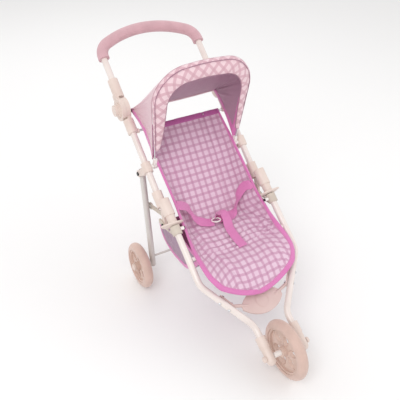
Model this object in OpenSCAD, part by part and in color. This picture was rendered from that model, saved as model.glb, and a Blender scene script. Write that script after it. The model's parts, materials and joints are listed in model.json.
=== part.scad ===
// Doll stroller: a three-wheeled folding frame with a fabric seat, a canopy and a basket.
// Millimetres. +Z is up, the front wheel points along -Y and X runs across the stroller.
// The origin is on the ground, under the middle of the overall length.
// A point in the side view is [y, z]. Parts of a pair are drawn on the +X side and mirrored.

/* [Frame] */
// Outside diameter of the frame tubes
tube_d = 16; // [14:0.1:19.2]
// Wall of the frame tubes
tube_wall = 1.2; // [0.8:0.1:1.6]
// Distance between the centre lines of the side tubes
frame_w = 272; // [250:1:330]
// Height of the fold pins above the ground
fold_pin_h = 262; // [250:1:290]
// Slope of the upper tubes, in degrees
upper_slope = 40.8; // [38:0.2:44]
// Slope of the front tubes at the seat, in degrees
front_slope = 37; // [35:0.2:40]
// Length of the upper tubes, from the fold to the start of the grip
upper_len = 389; // [360:1:470]
// Length of a front tube from its bracket to its first bend
front_run = 142; // [130:1:160]
// Bend radius of the front tubes
front_bend_r = 45; // [40:1:50]

/* [Wheels] */
// Radius of the front wheel
front_wheel_r = 73.5; // [66:0.1:88.2]
// Radius of the rear wheels
rear_wheel_r = 64.3; // [58:0.1:77]
// Width of each tyre
tyre_w = 26; // [22:1:30]
// Height of the tyre section above the rim
tyre_h = 17; // [14:0.5:20]
// Distance from the fold pins forward to the front axle
front_reach = 335; // [320:1:350]
// Distance from the fold pins back to the rear axle
rear_reach = 106; // [98:1:116]
// Diameter of the axles
axle_d = 8; // [6:0.5:9]
// Distance between the centre lines of the fork legs
fork_w = 92; // [84:1:100]
// Length of the straight fork leg above the axle
fork_len = 78; // [74:1:84]
// Distance that each rear leg stands inboard of its side tube
leg_inset = 6; // [4:0.5:8]
// Distance from a rear leg to the hub of its wheel
hub_gap = 13; // [10:0.5:20]
// Distance from the front tyre back to the middle of the footrest
footrest_gap = 33; // [32:0.5:40]
// Number of windows in each rim
rim_windows = 6; // [5:1:8]

/* [Handle] */
// Outside diameter of the foam grip
grip_d = 29; // [25:0.5:32]
// Bend radius of the handle's corners
handle_corner_r = 40; // [36:1:46]
// Turn of each corner before the long top arc, in degrees
handle_corner_turn = 65; // [60:1:70]
// Distance from the fold end of the upper tube to the tilt hinge
hinge_at = 242; // [232:1:252]
// Diameter of the hinge discs
hinge_disc_d = 56; // [52:0.1:67.2]
// Outside diameter of the hinge sleeves
hinge_sleeve_d = 26; // [24:0.5:28]
// Diameter of the round hinge button
button_d = 28; // [24:1:30]
// Travel of the hinge button
button_travel = 2.5; // [2:0.1:3]

/* [Fold lock] */
// Outside diameter of the lock barrel
lock_barrel_d = 27; // [26:0.5:29]
// Diameter of the sliding plunger
plunger_d = 22; // [20:0.5:23]
// Travel of the plunger
plunger_travel = 12; // [8:0.5:13]
// Length of the finger plate across the stroller
finger_plate_l = 58; // [50:1:60]
// Width of the finger plate
finger_plate_w = 42; // [36:1:46]
// Diameter of the fold pins
pin_d = 6; // [5:0.5:6.5]

/* [Fabric] */
// Distance from each side tube's centre line to the edge of the seat fabric
fabric_inset = 29; // [28:0.5:38]
// Width of the back panel and of the seat's hollow
hollow_w = 150; // [136:1:160]
// Thickness of the quilted fabric
fabric_t = 5; // [4:0.5:6]
// Height of the canopy bow above its pegs
bow_h = 262; // [240:1:300]
// Diameter of the canopy bow
bow_d = 5; // [4:0.5:6]
// Corner radius of the canopy bow
bow_corner_r = 82; // [74:1:90]
// Lean of the canopy bow from the horizontal, in degrees
bow_lean = 101; // [98:1:104]
// Width of the padded band round the canopy's mouth
rim_band = 33; // [28:1:36]
// Distance from each side tube's centre line to the side of the basket
basket_inset = 33; // [28:0.5:40]
// Width of the harness webbing
webbing_w = 24; // [20:1:26]

/* [Clearances] */
// Radial clearance of a fixed piece on its tube
seat_gap = 0.05; // [0.04:0.01:0.08]
// Radial clearance of a turning or sliding piece
run_gap = 0.05; // [0.03:0.01:0.1]
// Side clearance between moving faces
side_gap = 0.3; // [0.25:0.05:0.4]

/* [Hidden] */
$fn = 64;

half_w = frame_w / 2;
leg_x = half_w - leg_inset;
fork_x = fork_w / 2;
tube_r = tube_d / 2;
cut = 1;

// Overall length, which centres the stroller on the origin
upper_dir = [cos(upper_slope), sin(upper_slope)];
front_dir = [cos(front_slope), sin(front_slope)];
upper_foot = [31, 62];
corner_back = handle_corner_r * tan(handle_corner_turn / 2);
handle_slant = half_w / sin(handle_corner_turn);
handle_straight = 6;
top_r = (handle_slant - corner_back - handle_straight) * tan(handle_corner_turn);
handle_peak = upper_len + corner_back + handle_slant * cos(handle_corner_turn);
grip_top = handle_peak - top_r * (1 / sin(handle_corner_turn) - 1);
rear_end = upper_foot[0] + grip_top * upper_dir[0] + grip_d / 2;
front_end = -front_reach - front_wheel_r;
fold_y = -(rear_end + front_end) / 2;

// Side-view points
fold_pin = [fold_y, fold_pin_h];
front_axle_p = [fold_y - front_reach, front_wheel_r];
rear_axle_p = [fold_y + rear_reach, rear_wheel_r];
bracket_p = fold_pin + [-58, 24];
link_pin = fold_pin + [16, 2];
leg_pin = fold_pin + [138, 73];
// Share of the leg's length, from its top pin, where the link meets it
link_share = 0.37;
link_end = leg_pin + link_share * (rear_axle_p - leg_pin);

// Stations along the upper tube, measured up from its fold end
end_piece_from = -24;
end_piece_to = 16;
collar_at = 80;
collar_l = 26;
collar_d = 24;
back_rod_at = 178;
sleeve_from = 174;
sleeve_gap = 3;

// Fold bracket and lock
tongue_t = 6;
lug_t = 3;
lug_r = 8;
bracket_d = 24;
bracket_from = -12;
bracket_to = 10;
plate_t = 3;
dish_r = 80;
plate_room = 16;
spring_packed = 7;
barrel_cap = 3;
barrel_from = bracket_to + plate_room + plunger_travel;
barrel_to = 80;
plunger_top = barrel_to - barrel_cap - spring_packed - plunger_travel;
plate_shift = 3;

// Fold link, inboard of the legs
link_t = 3;
link_x = leg_x - tube_r - 4.5;
link_slack = 4;
stud_d = 5;
stud_head_t = 2.5;

// Hinge
hinge_split_x = half_w + 3;
hinge_in_x = half_w - 8;
hinge_out_x = half_w + 14;
neck_inset = 0.5;
button_wall = 4;
button_boss_h = 4;
button_seat = button_travel + 2.5;
button_top = 8;
hinge_pin_d = 8;

// Wheels
hub_w = tyre_w + 6;
hub_d = 24;
rim_wall = 5;
web_t = 9;
wheel_x = leg_x + tube_r + hub_gap + hub_w / 2;

// Fabric
peg_d = 7;
peg_x = half_w - collar_d / 2;
bow_foot_x = peg_x - 9;
bow_top_x = half_w - 12;
edge_x = half_w - fabric_inset - fabric_t / 2;
hollow_x = hollow_w / 2;
rod_d = 6;

// Side-view point at a distance s up the upper tube, and z off its centre line
function on_upper(s, z = 0) = fold_pin + upper_foot + s * upper_dir
    + z * [-sin(upper_slope), cos(upper_slope)];
// The same along the front tube, measured from the middle of the fold bracket
function on_front(s, z = 0) = bracket_p + s * front_dir
    + z * [-sin(front_slope), cos(front_slope)];
function at_x(x, p) = [x, p[0], p[1]];
function unit(v) = v / norm(v);
function turn_between(a, b) = acos(unit(a) * unit(b));
function setback(p, i, r) = r * tan(turn_between(p[i] - p[i - 1], p[i + 1] - p[i]) / 2);

module both_sides() {
    children();
    mirror([1, 0, 0]) children();
}

module side(s) {
    if (s < 0) mirror([1, 0, 0]) children();
    else children();
}

// Local +Y runs up the upper tube and +Z points up and forward off it
module on_upper_at(s, x = half_w) {
    translate(at_x(x, on_upper(s))) rotate([upper_slope, 0, 0]) children();
}

module on_front_at(s, x = half_w) {
    translate(at_x(x, on_front(s))) rotate([front_slope, 0, 0]) children();
}

module along_y(d, from, to) {
    translate([0, from, 0]) rotate([-90, 0, 0]) cylinder(d = d, h = to - from);
}

module across(d, from, to, p) {
    translate(at_x(from, p)) rotate([0, 90, 0]) cylinder(d = d, h = to - from);
}

module ring_across(d, bore, from, to, p) {
    difference() {
        across(d, from, to, p);
        across(bore, from - cut, to + cut, p);
    }
}

// Cap that stands h out along +X, with a crowned end
module domed_cap(d, h, x, p) {
    crown = 0.7 * d;
    translate(at_x(x, p)) rotate([0, 90, 0]) rotate_extrude() intersection() {
        square([d / 2, h]);
        translate([0, h - crown]) circle(r = crown);
    }
}

module rod(a, b, r) {
    d = b - a;
    translate(a) rotate([0, acos(d[2] / norm(d)), atan2(d[1], d[0])]) cylinder(r = r, h = norm(d));
}

// Bend of radius bend_r at point b, on the way from a to c
module elbow(a, b, c, bend_r, r) {
    u = unit(b - a);
    v = unit(c - b);
    turn = turn_between(u, v);
    inward = unit(v - (u * v) * u);
    centre = b - bend_r * tan(turn / 2) * u + bend_r * inward;
    w = cross(-inward, u);
    multmatrix([
        [-inward[0], u[0], w[0], centre[0]],
        [-inward[1], u[1], w[1], centre[1]],
        [-inward[2], u[2], w[2], centre[2]],
        [0, 0, 0, 1]
    ]) rotate_extrude(angle = turn) translate([bend_r, 0]) circle(r = r);
}

// Rod through the points p, with a bend of radius bend_r[i] at point i. The straight
// lengths lap over the ends of the bends, which are drawn a hair thinner.
bend_lap = 1;
bend_draw = 0.04;

module bent_rod(p, bend_r, r, over = 0) {
    last = len(p) - 1;
    for (i = [0 : last - 1]) {
        u = unit(p[i + 1] - p[i]);
        a = i == 0 ? -over : setback(p, i, bend_r[i]) - bend_lap;
        b = i == last - 1 ? -over : setback(p, i + 1, bend_r[i + 1]) - bend_lap;
        rod(p[i] + a * u, p[i + 1] - b * u, r);
    }
    for (i = [1 : last - 1]) elbow(p[i - 1], p[i], p[i + 1], bend_r[i], r - bend_draw);
}

// ---- Front frame ----

fork_dir = unit(at_x(0, [cos(31), sin(31)]));
front_axle_3 = at_x(fork_x, front_axle_p);
front_path = [
    at_x(half_w, on_front(bracket_to - 2.2)),
    at_x(half_w, on_front(-front_run)),
    front_axle_3 + fork_len * fork_dir,
    front_axle_3 + 14 * fork_dir
];
front_bends = [0, front_bend_r, front_bend_r, 0];
splay_dir = unit(front_path[2] - front_path[1]);
bolt_out = unit([-splay_dir[1], splay_dir[0], 0]);
bolt_shares = [0.38, 0.55];
bolt_d = 4;
tab_t = 4;

function bolt_at(share) = front_path[1] + share * (front_path[2] - front_path[1]);

// Local +Z points out of the splayed stretch of the tube, and +X runs down it
module on_splay(share) {
    p = bolt_at(share);
    o = -bolt_out;
    w = cross(o, splay_dir);
    multmatrix([
        [splay_dir[0], w[0], o[0], p[0]],
        [splay_dir[1], w[1], o[1], p[1]],
        [splay_dir[2], w[2], o[2], p[2]],
        [0, 0, 0, 1]
    ]) children();
}

module front_tube(s) {
    color("#f1e7df") side(s) difference() {
        bent_rod(front_path, front_bends, tube_r);
        bent_rod(front_path, front_bends, tube_r - tube_wall, cut);
        for (share = bolt_shares)
            on_splay(share) cylinder(d = bolt_d + 2 * seat_gap, h = 2 * tube_d, center = true);
    }
}

sleeve_top_d = 25;
sleeve_low_d = 22;

module fork_sleeve(s) {
    top = front_axle_3 + 50 * fork_dir;
    step = front_axle_3 + 23 * fork_dir;
    low = front_axle_3 - 8 * fork_dir;
    color("#ecdfd8") side(s) difference() {
        union() {
            rod(step, top, sleeve_top_d / 2);
            rod(low, step, sleeve_low_d / 2);
            translate(low) sphere(d = sleeve_low_d);
        }
        rod(front_path[3], top + cut * fork_dir, tube_r + seat_gap);
        across(axle_d + 2 * seat_gap, fork_x - sleeve_top_d, fork_x + sleeve_top_d, front_axle_p);
    }
}

axle_end = fork_x + sleeve_low_d / 2 + 4;

module front_axle() {
    color("silver") across(axle_d, -axle_end, axle_end, front_axle_p);
}

module axle_spacers() {
    color("white") both_sides()
        ring_across(13, axle_d + 2 * seat_gap, hub_w / 2 + side_gap, fork_x - sleeve_low_d / 2,
            front_axle_p);
}

module axle_nuts() {
    face = fork_x + sleeve_low_d / 2;
    color("#ecdfd8") both_sides() difference() {
        domed_cap(14, 8, face, front_axle_p);
        across(axle_d + 2 * seat_gap, face - cut, axle_end, front_axle_p);
    }
}

// Footrest: an oval plate between the tubes, with a tab bolted behind each tube
plate_tilt = 28;
plate_reach = 4;
plate_y = front_axle_p[0] + front_wheel_r + footrest_gap;
plate_share = (plate_y + plate_reach - front_path[1][1]) / (front_path[2][1] - front_path[1][1]);
plate_z = bolt_at(plate_share)[2] - 14;

module footrest_plate() {
    l = 118;
    w = 62;
    r = (l * l + w * w) / (4 * w);
    linear_extrude(5) intersection() {
        translate([0, r - w / 2]) circle(r = r);
        translate([0, w / 2 - r]) circle(r = r);
        circle(d = l - 8);
    }
}

module footrest() {
    color("#e6cfc4") difference() {
        union() {
            translate([0, plate_y, plate_z]) rotate([plate_tilt, 0, 0]) {
                footrest_plate();
                translate([0, 0, 5]) difference() {
                    cylinder(d = 34, h = 0.8);
                    cylinder(d = 30, h = 2, center = true);
                }
            }
            both_sides() {
                on_splay(bolt_shares[0]) translate([-8, -7, tube_r + side_gap])
                    cube([44, 12, tab_t]);
                rod([38, plate_y, plate_z + 2.5], footrest_tab_end(), 4);
                translate(footrest_tab_end()) sphere(r = 4);
            }
        }
        both_sides() {
            on_splay(bolt_shares[0]) translate([-10, 0, 0]) rotate([0, 90, 0])
                cylinder(d = tube_d + 2 * seat_gap, h = 55);
            for (share = bolt_shares) on_splay(share) {
                cylinder(d = bolt_d + 2 * seat_gap, h = 3 * tube_d, center = true);
                translate([0, 0, tube_r + tab_t + side_gap + 0.15]) cylinder(d = 8.6, h = 10);
            }
        }
    }
}

function footrest_tab_end() = bolt_at(bolt_shares[0]) + 31 * splay_dir
    - (tube_r + side_gap + tab_t / 2) * bolt_out;

module footrest_bolts() {
    deep = tube_r + tab_t + side_gap;
    color("#d8d8da") both_sides() for (share = bolt_shares) on_splay(share) mirror([0, 0, 1]) {
        translate([0, 0, -deep - 4]) cylinder(d = bolt_d, h = deep + 4 + tube_r + 1);
        translate([0, 0, -deep - 4]) difference() {
            cylinder(d = 7.5, h = 3.8, $fn = 6);
            translate([0, 0, -cut]) cylinder(d = bolt_d, h = 6);
        }
        translate([0, 0, tube_r - 1]) difference() {
            sphere(d = 8);
            translate([0, 0, -5]) cube(12, center = true);
        }
    }
}

// Fold bracket: a collar round the front tube, with two cheeks that hold the fold pin
module lug_outline() {
    f = local_front(fold_pin);
    b = local_front(link_pin);
    polygon([[bracket_from, -8], [8, -8], [8, -30], [f[0] - 3, f[1] + lug_r],
        [b[0] + 4, b[1] + lug_r], [b[0], b[1] - lug_r], [f[0], f[1] - lug_r]]);
    translate(f) circle(r = lug_r);
    translate(b) circle(r = lug_r);
}

function local_front(p) = [(p - bracket_p) * front_dir,
    (p - bracket_p) * [-sin(front_slope), cos(front_slope)]];

module fold_bracket(s) {
    f = local_front(fold_pin);
    b = local_front(link_pin);
    cheek = tongue_t / 2 + side_gap;
    color("#d9ccbe") side(s) on_front_at(0) difference() {
        union() {
            along_y(bracket_d, bracket_from, bracket_to);
            for (x = [-cheek - lug_t, cheek]) translate([x, 0, 0])
                rotate([90, 0, 90]) linear_extrude(lug_t) lug_outline();
        }
        along_y(tube_d + 2 * seat_gap, bracket_from - cut, bracket_to - 2);
        translate([-20, f[0], f[1]]) rotate([0, 90, 0]) cylinder(d = pin_d + 2 * seat_gap, h = 40);
        translate([-20, b[0], b[1]]) rotate([0, 90, 0]) cylinder(d = pin_d + 2 * seat_gap, h = 20);
    }
}

module fold_pins() {
    out = tongue_t / 2 + side_gap + lug_t;
    color("#2b2b2d") both_sides() {
        across(pin_d, half_w - out, half_w + out, fold_pin);
        across(11, half_w + out, half_w + out + 2.5, fold_pin);
        across(11, half_w - out - 2.5, half_w - out, fold_pin);
    }
    link_studs();
}

// A stud inboard of each bracket carries the link, behind a spacer
module link_studs() {
    cheek = half_w - tongue_t / 2 - side_gap;
    inner = cheek - lug_t;
    color("#2b2b2d") both_sides() {
        across(pin_d, link_x - link_t / 2 - side_gap - stud_head_t, cheek, link_pin);
        across(11, link_x - link_t / 2 - side_gap - stud_head_t,
            link_x - link_t / 2 - side_gap, link_pin);
        across(10, link_x + link_t / 2 + side_gap, inner, link_pin);
    }
}

// Spacers and screws that hold the seat fabric and the basket to the front tubes
spacer_l = 8;
clip_s = -78;

module fabric_spacers() {
    color("#f4f4f4") both_sides() {
        difference() {
            ring_across(9, 3.2, half_w - bracket_d / 2 - spacer_l, half_w - bracket_d / 2 + 0.6,
                bracket_p);
            on_front_at(0) along_y(bracket_d + 2 * seat_gap, bracket_from - tube_d, bracket_to);
        }
        ring_across(9, 3.2, half_w - tube_r - spacer_l, half_w - tube_r - 0.02, on_front(clip_s));
    }
}

module fabric_screws() {
    color("#222224") both_sides() {
        for (spot = [[half_w - bracket_d / 2, bracket_p], [half_w - tube_r, on_front(clip_s)]]) {
            across(3, spot[0] - spacer_l, spot[0] - 0.1, spot[1]);
            across(7, spot[0] - spacer_l - 2.5, spot[0] - spacer_l, spot[1]);
        }
    }
}

// ---- Seat fabric ----

module panel(points) {
    hull() for (p = points) translate(p) sphere(d = fabric_t, $fn = 16);
}

seat_back_p = fold_pin + [-10, -26];
seat_reach = 120;
seat_front_p = fold_pin + [-seat_reach, -41];
edge_over_pin = fold_pin + [-2, 64];
edge_front_p = on_front(-90, 14);

module seat_base() {
    color("#d8b0c8") {
        panel([at_x(hollow_x, seat_back_p), at_x(-hollow_x, seat_back_p),
            at_x(edge_x - 10, seat_front_p), at_x(10 - edge_x, seat_front_p)]);
        both_sides() difference() {
            panel([at_x(hollow_x, seat_back_p), at_x(edge_x, edge_over_pin),
                at_x(edge_x, edge_front_p), at_x(edge_x - 10, seat_front_p)]);
            translate([0, fold_y - seat_reach - fabric_t / 2 - 50.1, 0]) cube([frame_w, 50, 600]);
        }
    }
}

// The flap starts just ahead of the seat base and hangs over the footrest, with a round front
flap_line = [[-seat_reach - fabric_t / 2 - side_gap, -38], [-160, -40], [-200, -54], [-234, -90]];
flap_round = 0.6;

function flap_edge(a) = [
    edge_x * sign(cos(a)) * pow(abs(cos(a)), flap_round),
    fold_y + flap_line[0][0] + (flap_line[3][0] - flap_line[0][0]) * pow(sin(a), flap_round)
];

module leg_flap() {
    half_t = [0, fabric_t / 2];
    color("#d8b0c8") intersection() {
        rotate([90, 0, 90]) linear_extrude(frame_w, center = true) polygon(concat(
            [for (p = flap_line) fold_pin + p + half_t],
            [for (i = [3 : -1 : 0]) fold_pin + flap_line[i] - half_t]));
        translate([0, 0, fold_pin_h - 200]) linear_extrude(200)
            polygon([for (a = [0 : 10 : 180]) flap_edge(a)]);
    }
}

module webbing(points) {
    for (i = [0 : len(points) - 2]) hull() for (j = [i, i + 1])
        translate(points[j][0]) rotate([0, 0, points[j][1]]) translate([0, -webbing_w / 2, 0])
            rotate([-90, 0, 0]) cylinder(d = 1.8, h = webbing_w, $fn = 12);
}

ring_p = at_x(-10, fold_pin + [-30, -14]);

module lap_strap(s) {
    outer = at_x((hollow_x + edge_x) / 2, fold_pin + [-26, 24]);
    corner = at_x(hollow_x - 8, fold_pin + [-28, -19]);
    inner = [s > 0 ? 6 : 24, ring_p[1], ring_p[2] - 4];
    color("#d968b0") side(s) webbing([[outer, 0], [corner, 0], [inner, 0]]);
}

module crotch_strap() {
    color("#d968b0") webbing([
        [at_x(4, seat_front_p + [12, 6]), 90],
        [at_x(0, seat_front_p + [44, 14]), 90],
        [[-6, ring_p[1] - 16, ring_p[2] - 3], 90]
    ]);
}

module harness_ring() {
    color("white") translate(ring_p + [0, 0, 3]) rotate([-12, 0, 0])
        rotate_extrude() translate([11, 0]) circle(d = 3);
}

// Basket: a bag with an open top, hung under the seat
basket_w = frame_w - 2 * basket_inset;
basket_t = 3;
basket_side = [[-113, -52], [-42, -126], [48, -132], [94, -116], [114, -80]];
basket_mouth = [[-60, -44], [4, -42], [60, -52]];

module basket() {
    n = len(basket_side);
    outer = [for (p = basket_side) fold_pin + p];
    top = [for (i = [len(basket_mouth) - 1 : -1 : 0]) fold_pin + basket_mouth[i]];
    inner = [
        fold_pin + basket_side[0] + [4, 30], fold_pin + basket_side[0] + [4, 1],
        fold_pin + basket_side[1] + [1.5, basket_t], fold_pin + basket_side[2] + [-1, basket_t],
        fold_pin + basket_side[3] + [-3, basket_t], fold_pin + basket_side[4] + [-4, 0],
        fold_pin + basket_side[4] + [-4, 60]
    ];
    color("#c98fb2") difference() {
        translate([-basket_w / 2, 0, 0]) rotate([90, 0, 90])
            linear_extrude(basket_w) polygon(concat(outer, top));
        translate([-basket_w / 2 + basket_t, 0, 0]) rotate([90, 0, 90])
            linear_extrude(basket_w - 2 * basket_t) polygon(inner);
    }
}

// ---- Upper frame ----

module upper_tube(s) {
    color("#f1e7df") side(s) on_upper_at(0) difference() {
        along_y(tube_d, 0, hinge_at - hinge_disc_d / 2 - sleeve_gap - 2);
        along_y(tube_d - 2 * tube_wall, -cut, hinge_at);
    }
}

// Two barrels side by side: one on the tube's end, one for the plunger, and a tongue to the pin
module lock_housing(s) {
    color("#ecdfd8") side(s) difference() {
        union() {
            on_upper_at(0) along_y(25, end_piece_from, end_piece_to);
            on_front_at(0) {
                along_y(lock_barrel_d, barrel_from, barrel_to);
                translate([-5, barrel_from + 6, -26]) cube([10, barrel_to - barrel_from - 10, 20]);
            }
            translate([half_w - tongue_t / 2, 0, 0]) rotate([90, 0, 90])
                linear_extrude(tongue_t) {
                    translate(fold_pin) circle(r = lug_r);
                    polygon([fold_pin + lug_r * [-0.94, 0.34], fold_pin + lug_r * [0.94, -0.34],
                        on_upper(end_piece_from + 4, -7), on_upper(end_piece_from + 4, 7)]);
                }
        }
        on_upper_at(0) along_y(tube_d + 2 * seat_gap, 0, end_piece_to + cut);
        on_front_at(0) along_y(plunger_d + 2 * run_gap, barrel_from - cut, barrel_to - barrel_cap);
        across(pin_d + 2 * run_gap, half_w - 10, half_w + 10, fold_pin);
    }
}

// Plunger that locks the fold, with a dished finger plate
module plunger(s) {
    l = finger_plate_l;
    w = finger_plate_w;
    r = (l * l + w * w) / (4 * w);
    low = bracket_to + 2 * side_gap;
    color("#f3e9e2") side(s) on_front_at(0) {
        along_y(plunger_d, low + 1.5, plunger_top);
        intersection() {
            translate([plate_shift, low - cut, 0]) rotate([-90, 0, 0]) linear_extrude(20)
                intersection() {
                    translate([0, r - w / 2]) circle(r = r);
                    translate([0, w / 2 - r]) circle(r = r);
                }
            translate([0, low + dish_r + plate_t, 0]) difference() {
                sphere(r = dish_r + plate_t);
                sphere(r = dish_r);
            }
        }
    }
}

// Helical spring of round wire, h tall over all
module coil(r, wire, h, turns) {
    sides = 6;
    per_turn = 14;
    rings = per_turn * turns;
    points = [for (i = [0 : rings]) let(a = 360 * i / per_turn, z = wire / 2 + (h - wire) * i / rings)
        for (j = [0 : sides - 1]) let(b = 360 * j / sides, q = r + wire / 2 * cos(b))
            [q * cos(a), q * sin(a), z + wire / 2 * sin(b)]];
    skin = [for (i = [0 : rings - 1]) for (j = [0 : sides - 1]) let(k = (j + 1) % sides)
        [i * sides + j, i * sides + k, (i + 1) * sides + k, (i + 1) * sides + j]];
    polyhedron(points = points, faces = concat([for (f = skin) [f[3], f[2], f[1], f[0]]],
        [[for (j = [0 : sides - 1]) j], [for (j = [sides - 1 : -1 : 0]) rings * sides + j]]));
}

module lock_springs() {
    wire = 1.4;
    color("silver") both_sides() on_front_at(0)
        translate([0, plunger_top + side_gap, 0]) rotate([-90, 0, 0])
            coil(7, wire, barrel_to - barrel_cap - plunger_top - 2 * side_gap, 4);
}

// Collar on the upper tube with two cheeks behind it for the rear leg
module leg_collar(s) {
    off = leg_pin - on_upper(collar_at);
    c = [off * upper_dir, off * [-sin(upper_slope), cos(upper_slope)]];
    gap = tube_r + side_gap;
    ear_t = 3;
    shift = leg_x - half_w;
    color("#d9ccbe") side(s) on_upper_at(collar_at) difference() {
        union() {
            along_y(collar_d, -collar_l / 2, collar_l / 2);
            translate([shift - gap - ear_t / 2, -11, -26]) cube([2 * gap + ear_t, 22, 18]);
            for (x = [shift - gap - ear_t, shift + gap]) translate([x, 0, 0])
                rotate([90, 0, 90]) linear_extrude(ear_t) {
                    polygon([[-10, -14], [10, -14], [10, -25], c + [7, 0], c - [7, 0], [-10, -25]]);
                    translate(c) circle(r = 9);
                }
        }
        along_y(tube_d + 2 * seat_gap, -collar_l, collar_l);
        translate([shift - 20, c[0], c[1]]) rotate([0, 90, 0])
            cylinder(d = pin_d + 2 * seat_gap, h = 40);
    }
}

module leg_pins() {
    out = tube_r + side_gap + 3;
    color("#2b2b2d") both_sides() {
        across(pin_d, leg_x - out, leg_x + out, leg_pin);
        across(10, leg_x + out, leg_x + out + 2.5, leg_pin);
        across(10, leg_x - out - 2.5, leg_x - out, leg_pin);
    }
}

module canopy_pegs() {
    p = on_upper(collar_at);
    color("#f4f4f4") both_sides() difference() {
        union() {
            across(peg_d, bow_foot_x - 4.5, peg_x + 0.8, p);
            across(10.5, bow_foot_x - 6.5, bow_foot_x - 4.5, p);
            across(10.5, bow_foot_x + 4, peg_x + 0.8, p);
        }
        on_upper_at(collar_at) along_y(collar_d + 2 * seat_gap, -collar_l, collar_l);
    }
}

module hinge_lower(s) {
    neck = hinge_at - hinge_disc_d / 2;
    color("#ecdfd8") side(s) difference() {
        union() {
            on_upper_at(0) along_y(hinge_sleeve_d, sleeve_from, neck - sleeve_gap);
            on_upper_at(0) translate([hinge_in_x - half_w + neck_inset, neck - sleeve_gap - 14, -11])
                cube([hinge_split_x - hinge_in_x - 2 * neck_inset, 30, 22]);
            across(hinge_disc_d, hinge_in_x, hinge_split_x, on_upper(hinge_at));
            across(12, half_w - hinge_sleeve_d / 2 - 3, half_w - tube_r, on_upper(back_rod_at));
        }
        on_upper_at(0) along_y(tube_d + 2 * seat_gap, sleeve_from - cut, neck - sleeve_gap - 2);
        across(hinge_pin_d + 2 * seat_gap, hinge_in_x - cut, hinge_split_x + cut,
            on_upper(hinge_at));
        across(rod_d + 2 * seat_gap, half_w - 20, half_w - tube_r - 3, on_upper(back_rod_at));
    }
}

module hinge_pins() {
    color("#2b2b2d") both_sides() {
        across(hinge_pin_d, hinge_in_x, hinge_out_x - button_seat - 1.5, on_upper(hinge_at));
        across(14, hinge_in_x - 2.5, hinge_in_x, on_upper(hinge_at));
    }
}

module back_rod() {
    x = half_w - tube_r - 3.2;
    color("silver") across(rod_d, -x, x, on_upper(back_rod_at));
}

back_low_p = fold_pin + [10, -10];
edge_back_p = fold_pin + [4, 67];
back_top_p = on_upper(back_rod_at - rod_d / 2 - fabric_t / 2 - 1);

module backrest() {
    color("#d8b0c8") {
        panel([at_x(edge_x, back_top_p), at_x(-edge_x, back_top_p),
            at_x(hollow_x, back_low_p), at_x(-hollow_x, back_low_p)]);
        both_sides() panel([at_x(edge_x, back_top_p), at_x(edge_x, edge_back_p),
            at_x(hollow_x, back_low_p)]);
    }
}

// ---- Handle ----

function handle_path(from) = [
    [half_w, from, 0], [half_w, upper_len + corner_back, 0], [0, handle_peak, 0],
    [-half_w, upper_len + corner_back, 0], [-half_w, from, 0]
];
handle_bends = [0, handle_corner_r, top_r, handle_corner_r, 0];

handle_from = hinge_at + hinge_disc_d / 2 + sleeve_gap + 4;
sleeve_to = 323;

module handle_tube() {
    color("#f1e7df") on_upper_at(0, 0) difference() {
        bent_rod(handle_path(handle_from), handle_bends, tube_r);
        bent_rod(handle_path(handle_from), handle_bends, tube_r - tube_wall, cut);
    }
}

module foam_grip() {
    color("#dba9b6") on_upper_at(0, 0) difference() {
        bent_rod(handle_path(upper_len - 6), handle_bends, grip_d / 2);
        bent_rod(handle_path(upper_len - 6), handle_bends, tube_r + seat_gap, cut);
    }
}

module hinge_upper(s) {
    neck = hinge_at + hinge_disc_d / 2 + sleeve_gap;
    face = hinge_split_x + side_gap;
    color("#ecdfd8") side(s) difference() {
        union() {
            on_upper_at(0) along_y(hinge_sleeve_d, neck, sleeve_to);
            on_upper_at(0) translate([face - half_w + neck_inset, neck - 18, -11])
                cube([hinge_sleeve_d / 2 - face + half_w - 2 * neck_inset, 30, 22]);
            across(hinge_disc_d, face, hinge_out_x, on_upper(hinge_at));
            across(button_d + 2 * button_wall, hinge_out_x, hinge_out_x + button_boss_h,
                on_upper(hinge_at));
        }
        on_upper_at(0) along_y(tube_d + 2 * seat_gap, handle_from, sleeve_to + cut);
        across(hinge_pin_d + 2 * run_gap, face - cut, hinge_out_x, on_upper(hinge_at));
        across(button_d + 2 * run_gap, hinge_out_x - button_seat,
            hinge_out_x + button_boss_h + cut, on_upper(hinge_at));
    }
}

module hinge_button(s) {
    color("#f3e9e2") side(s) difference() {
        across(button_d, hinge_out_x, hinge_out_x + button_boss_h + button_top,
            on_upper(hinge_at));
        translate(at_x(hinge_out_x + button_boss_h + button_top + 56, on_upper(hinge_at)))
            sphere(r = 57.2);
    }
}

module button_springs() {
    color("silver") both_sides()
        translate(at_x(hinge_out_x - button_seat + 0.2, on_upper(hinge_at)))
            rotate([0, 90, 0]) coil(9, 1, button_seat - 0.4, 2);
}

// ---- Canopy ----

module on_bow() {
    translate(at_x(0, on_upper(collar_at))) rotate([bow_lean, 0, 0]) children();
}

function bow_path(inset) = [
    [bow_foot_x - inset, 8, 0], [bow_top_x - inset, bow_h - inset, 0],
    [inset - bow_top_x, bow_h - inset, 0], [inset - bow_foot_x, 8, 0]
];

module canopy_bow() {
    color("silver") on_bow()
        bent_rod(bow_path(0), [0, bow_corner_r, bow_corner_r, 0], bow_d / 2);
}

// Clips on the bow's feet, which turn on the pegs
module bow_clips() {
    p = on_upper(collar_at);
    color("#f4f4f4") both_sides() difference() {
        union() {
            across(14, bow_foot_x - 4, bow_foot_x + 3.5, p);
            on_bow() translate([bow_foot_x - 4, 4, -4.5]) cube([7.5, 20, 9]);
        }
        across(peg_d + 2 * run_gap, bow_foot_x - 10, bow_foot_x + 10, p);
        on_bow() rod([bow_foot_x, 7.9, 0], bow_path(0)[1], bow_d / 2 + seat_gap);
    }
}

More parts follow.
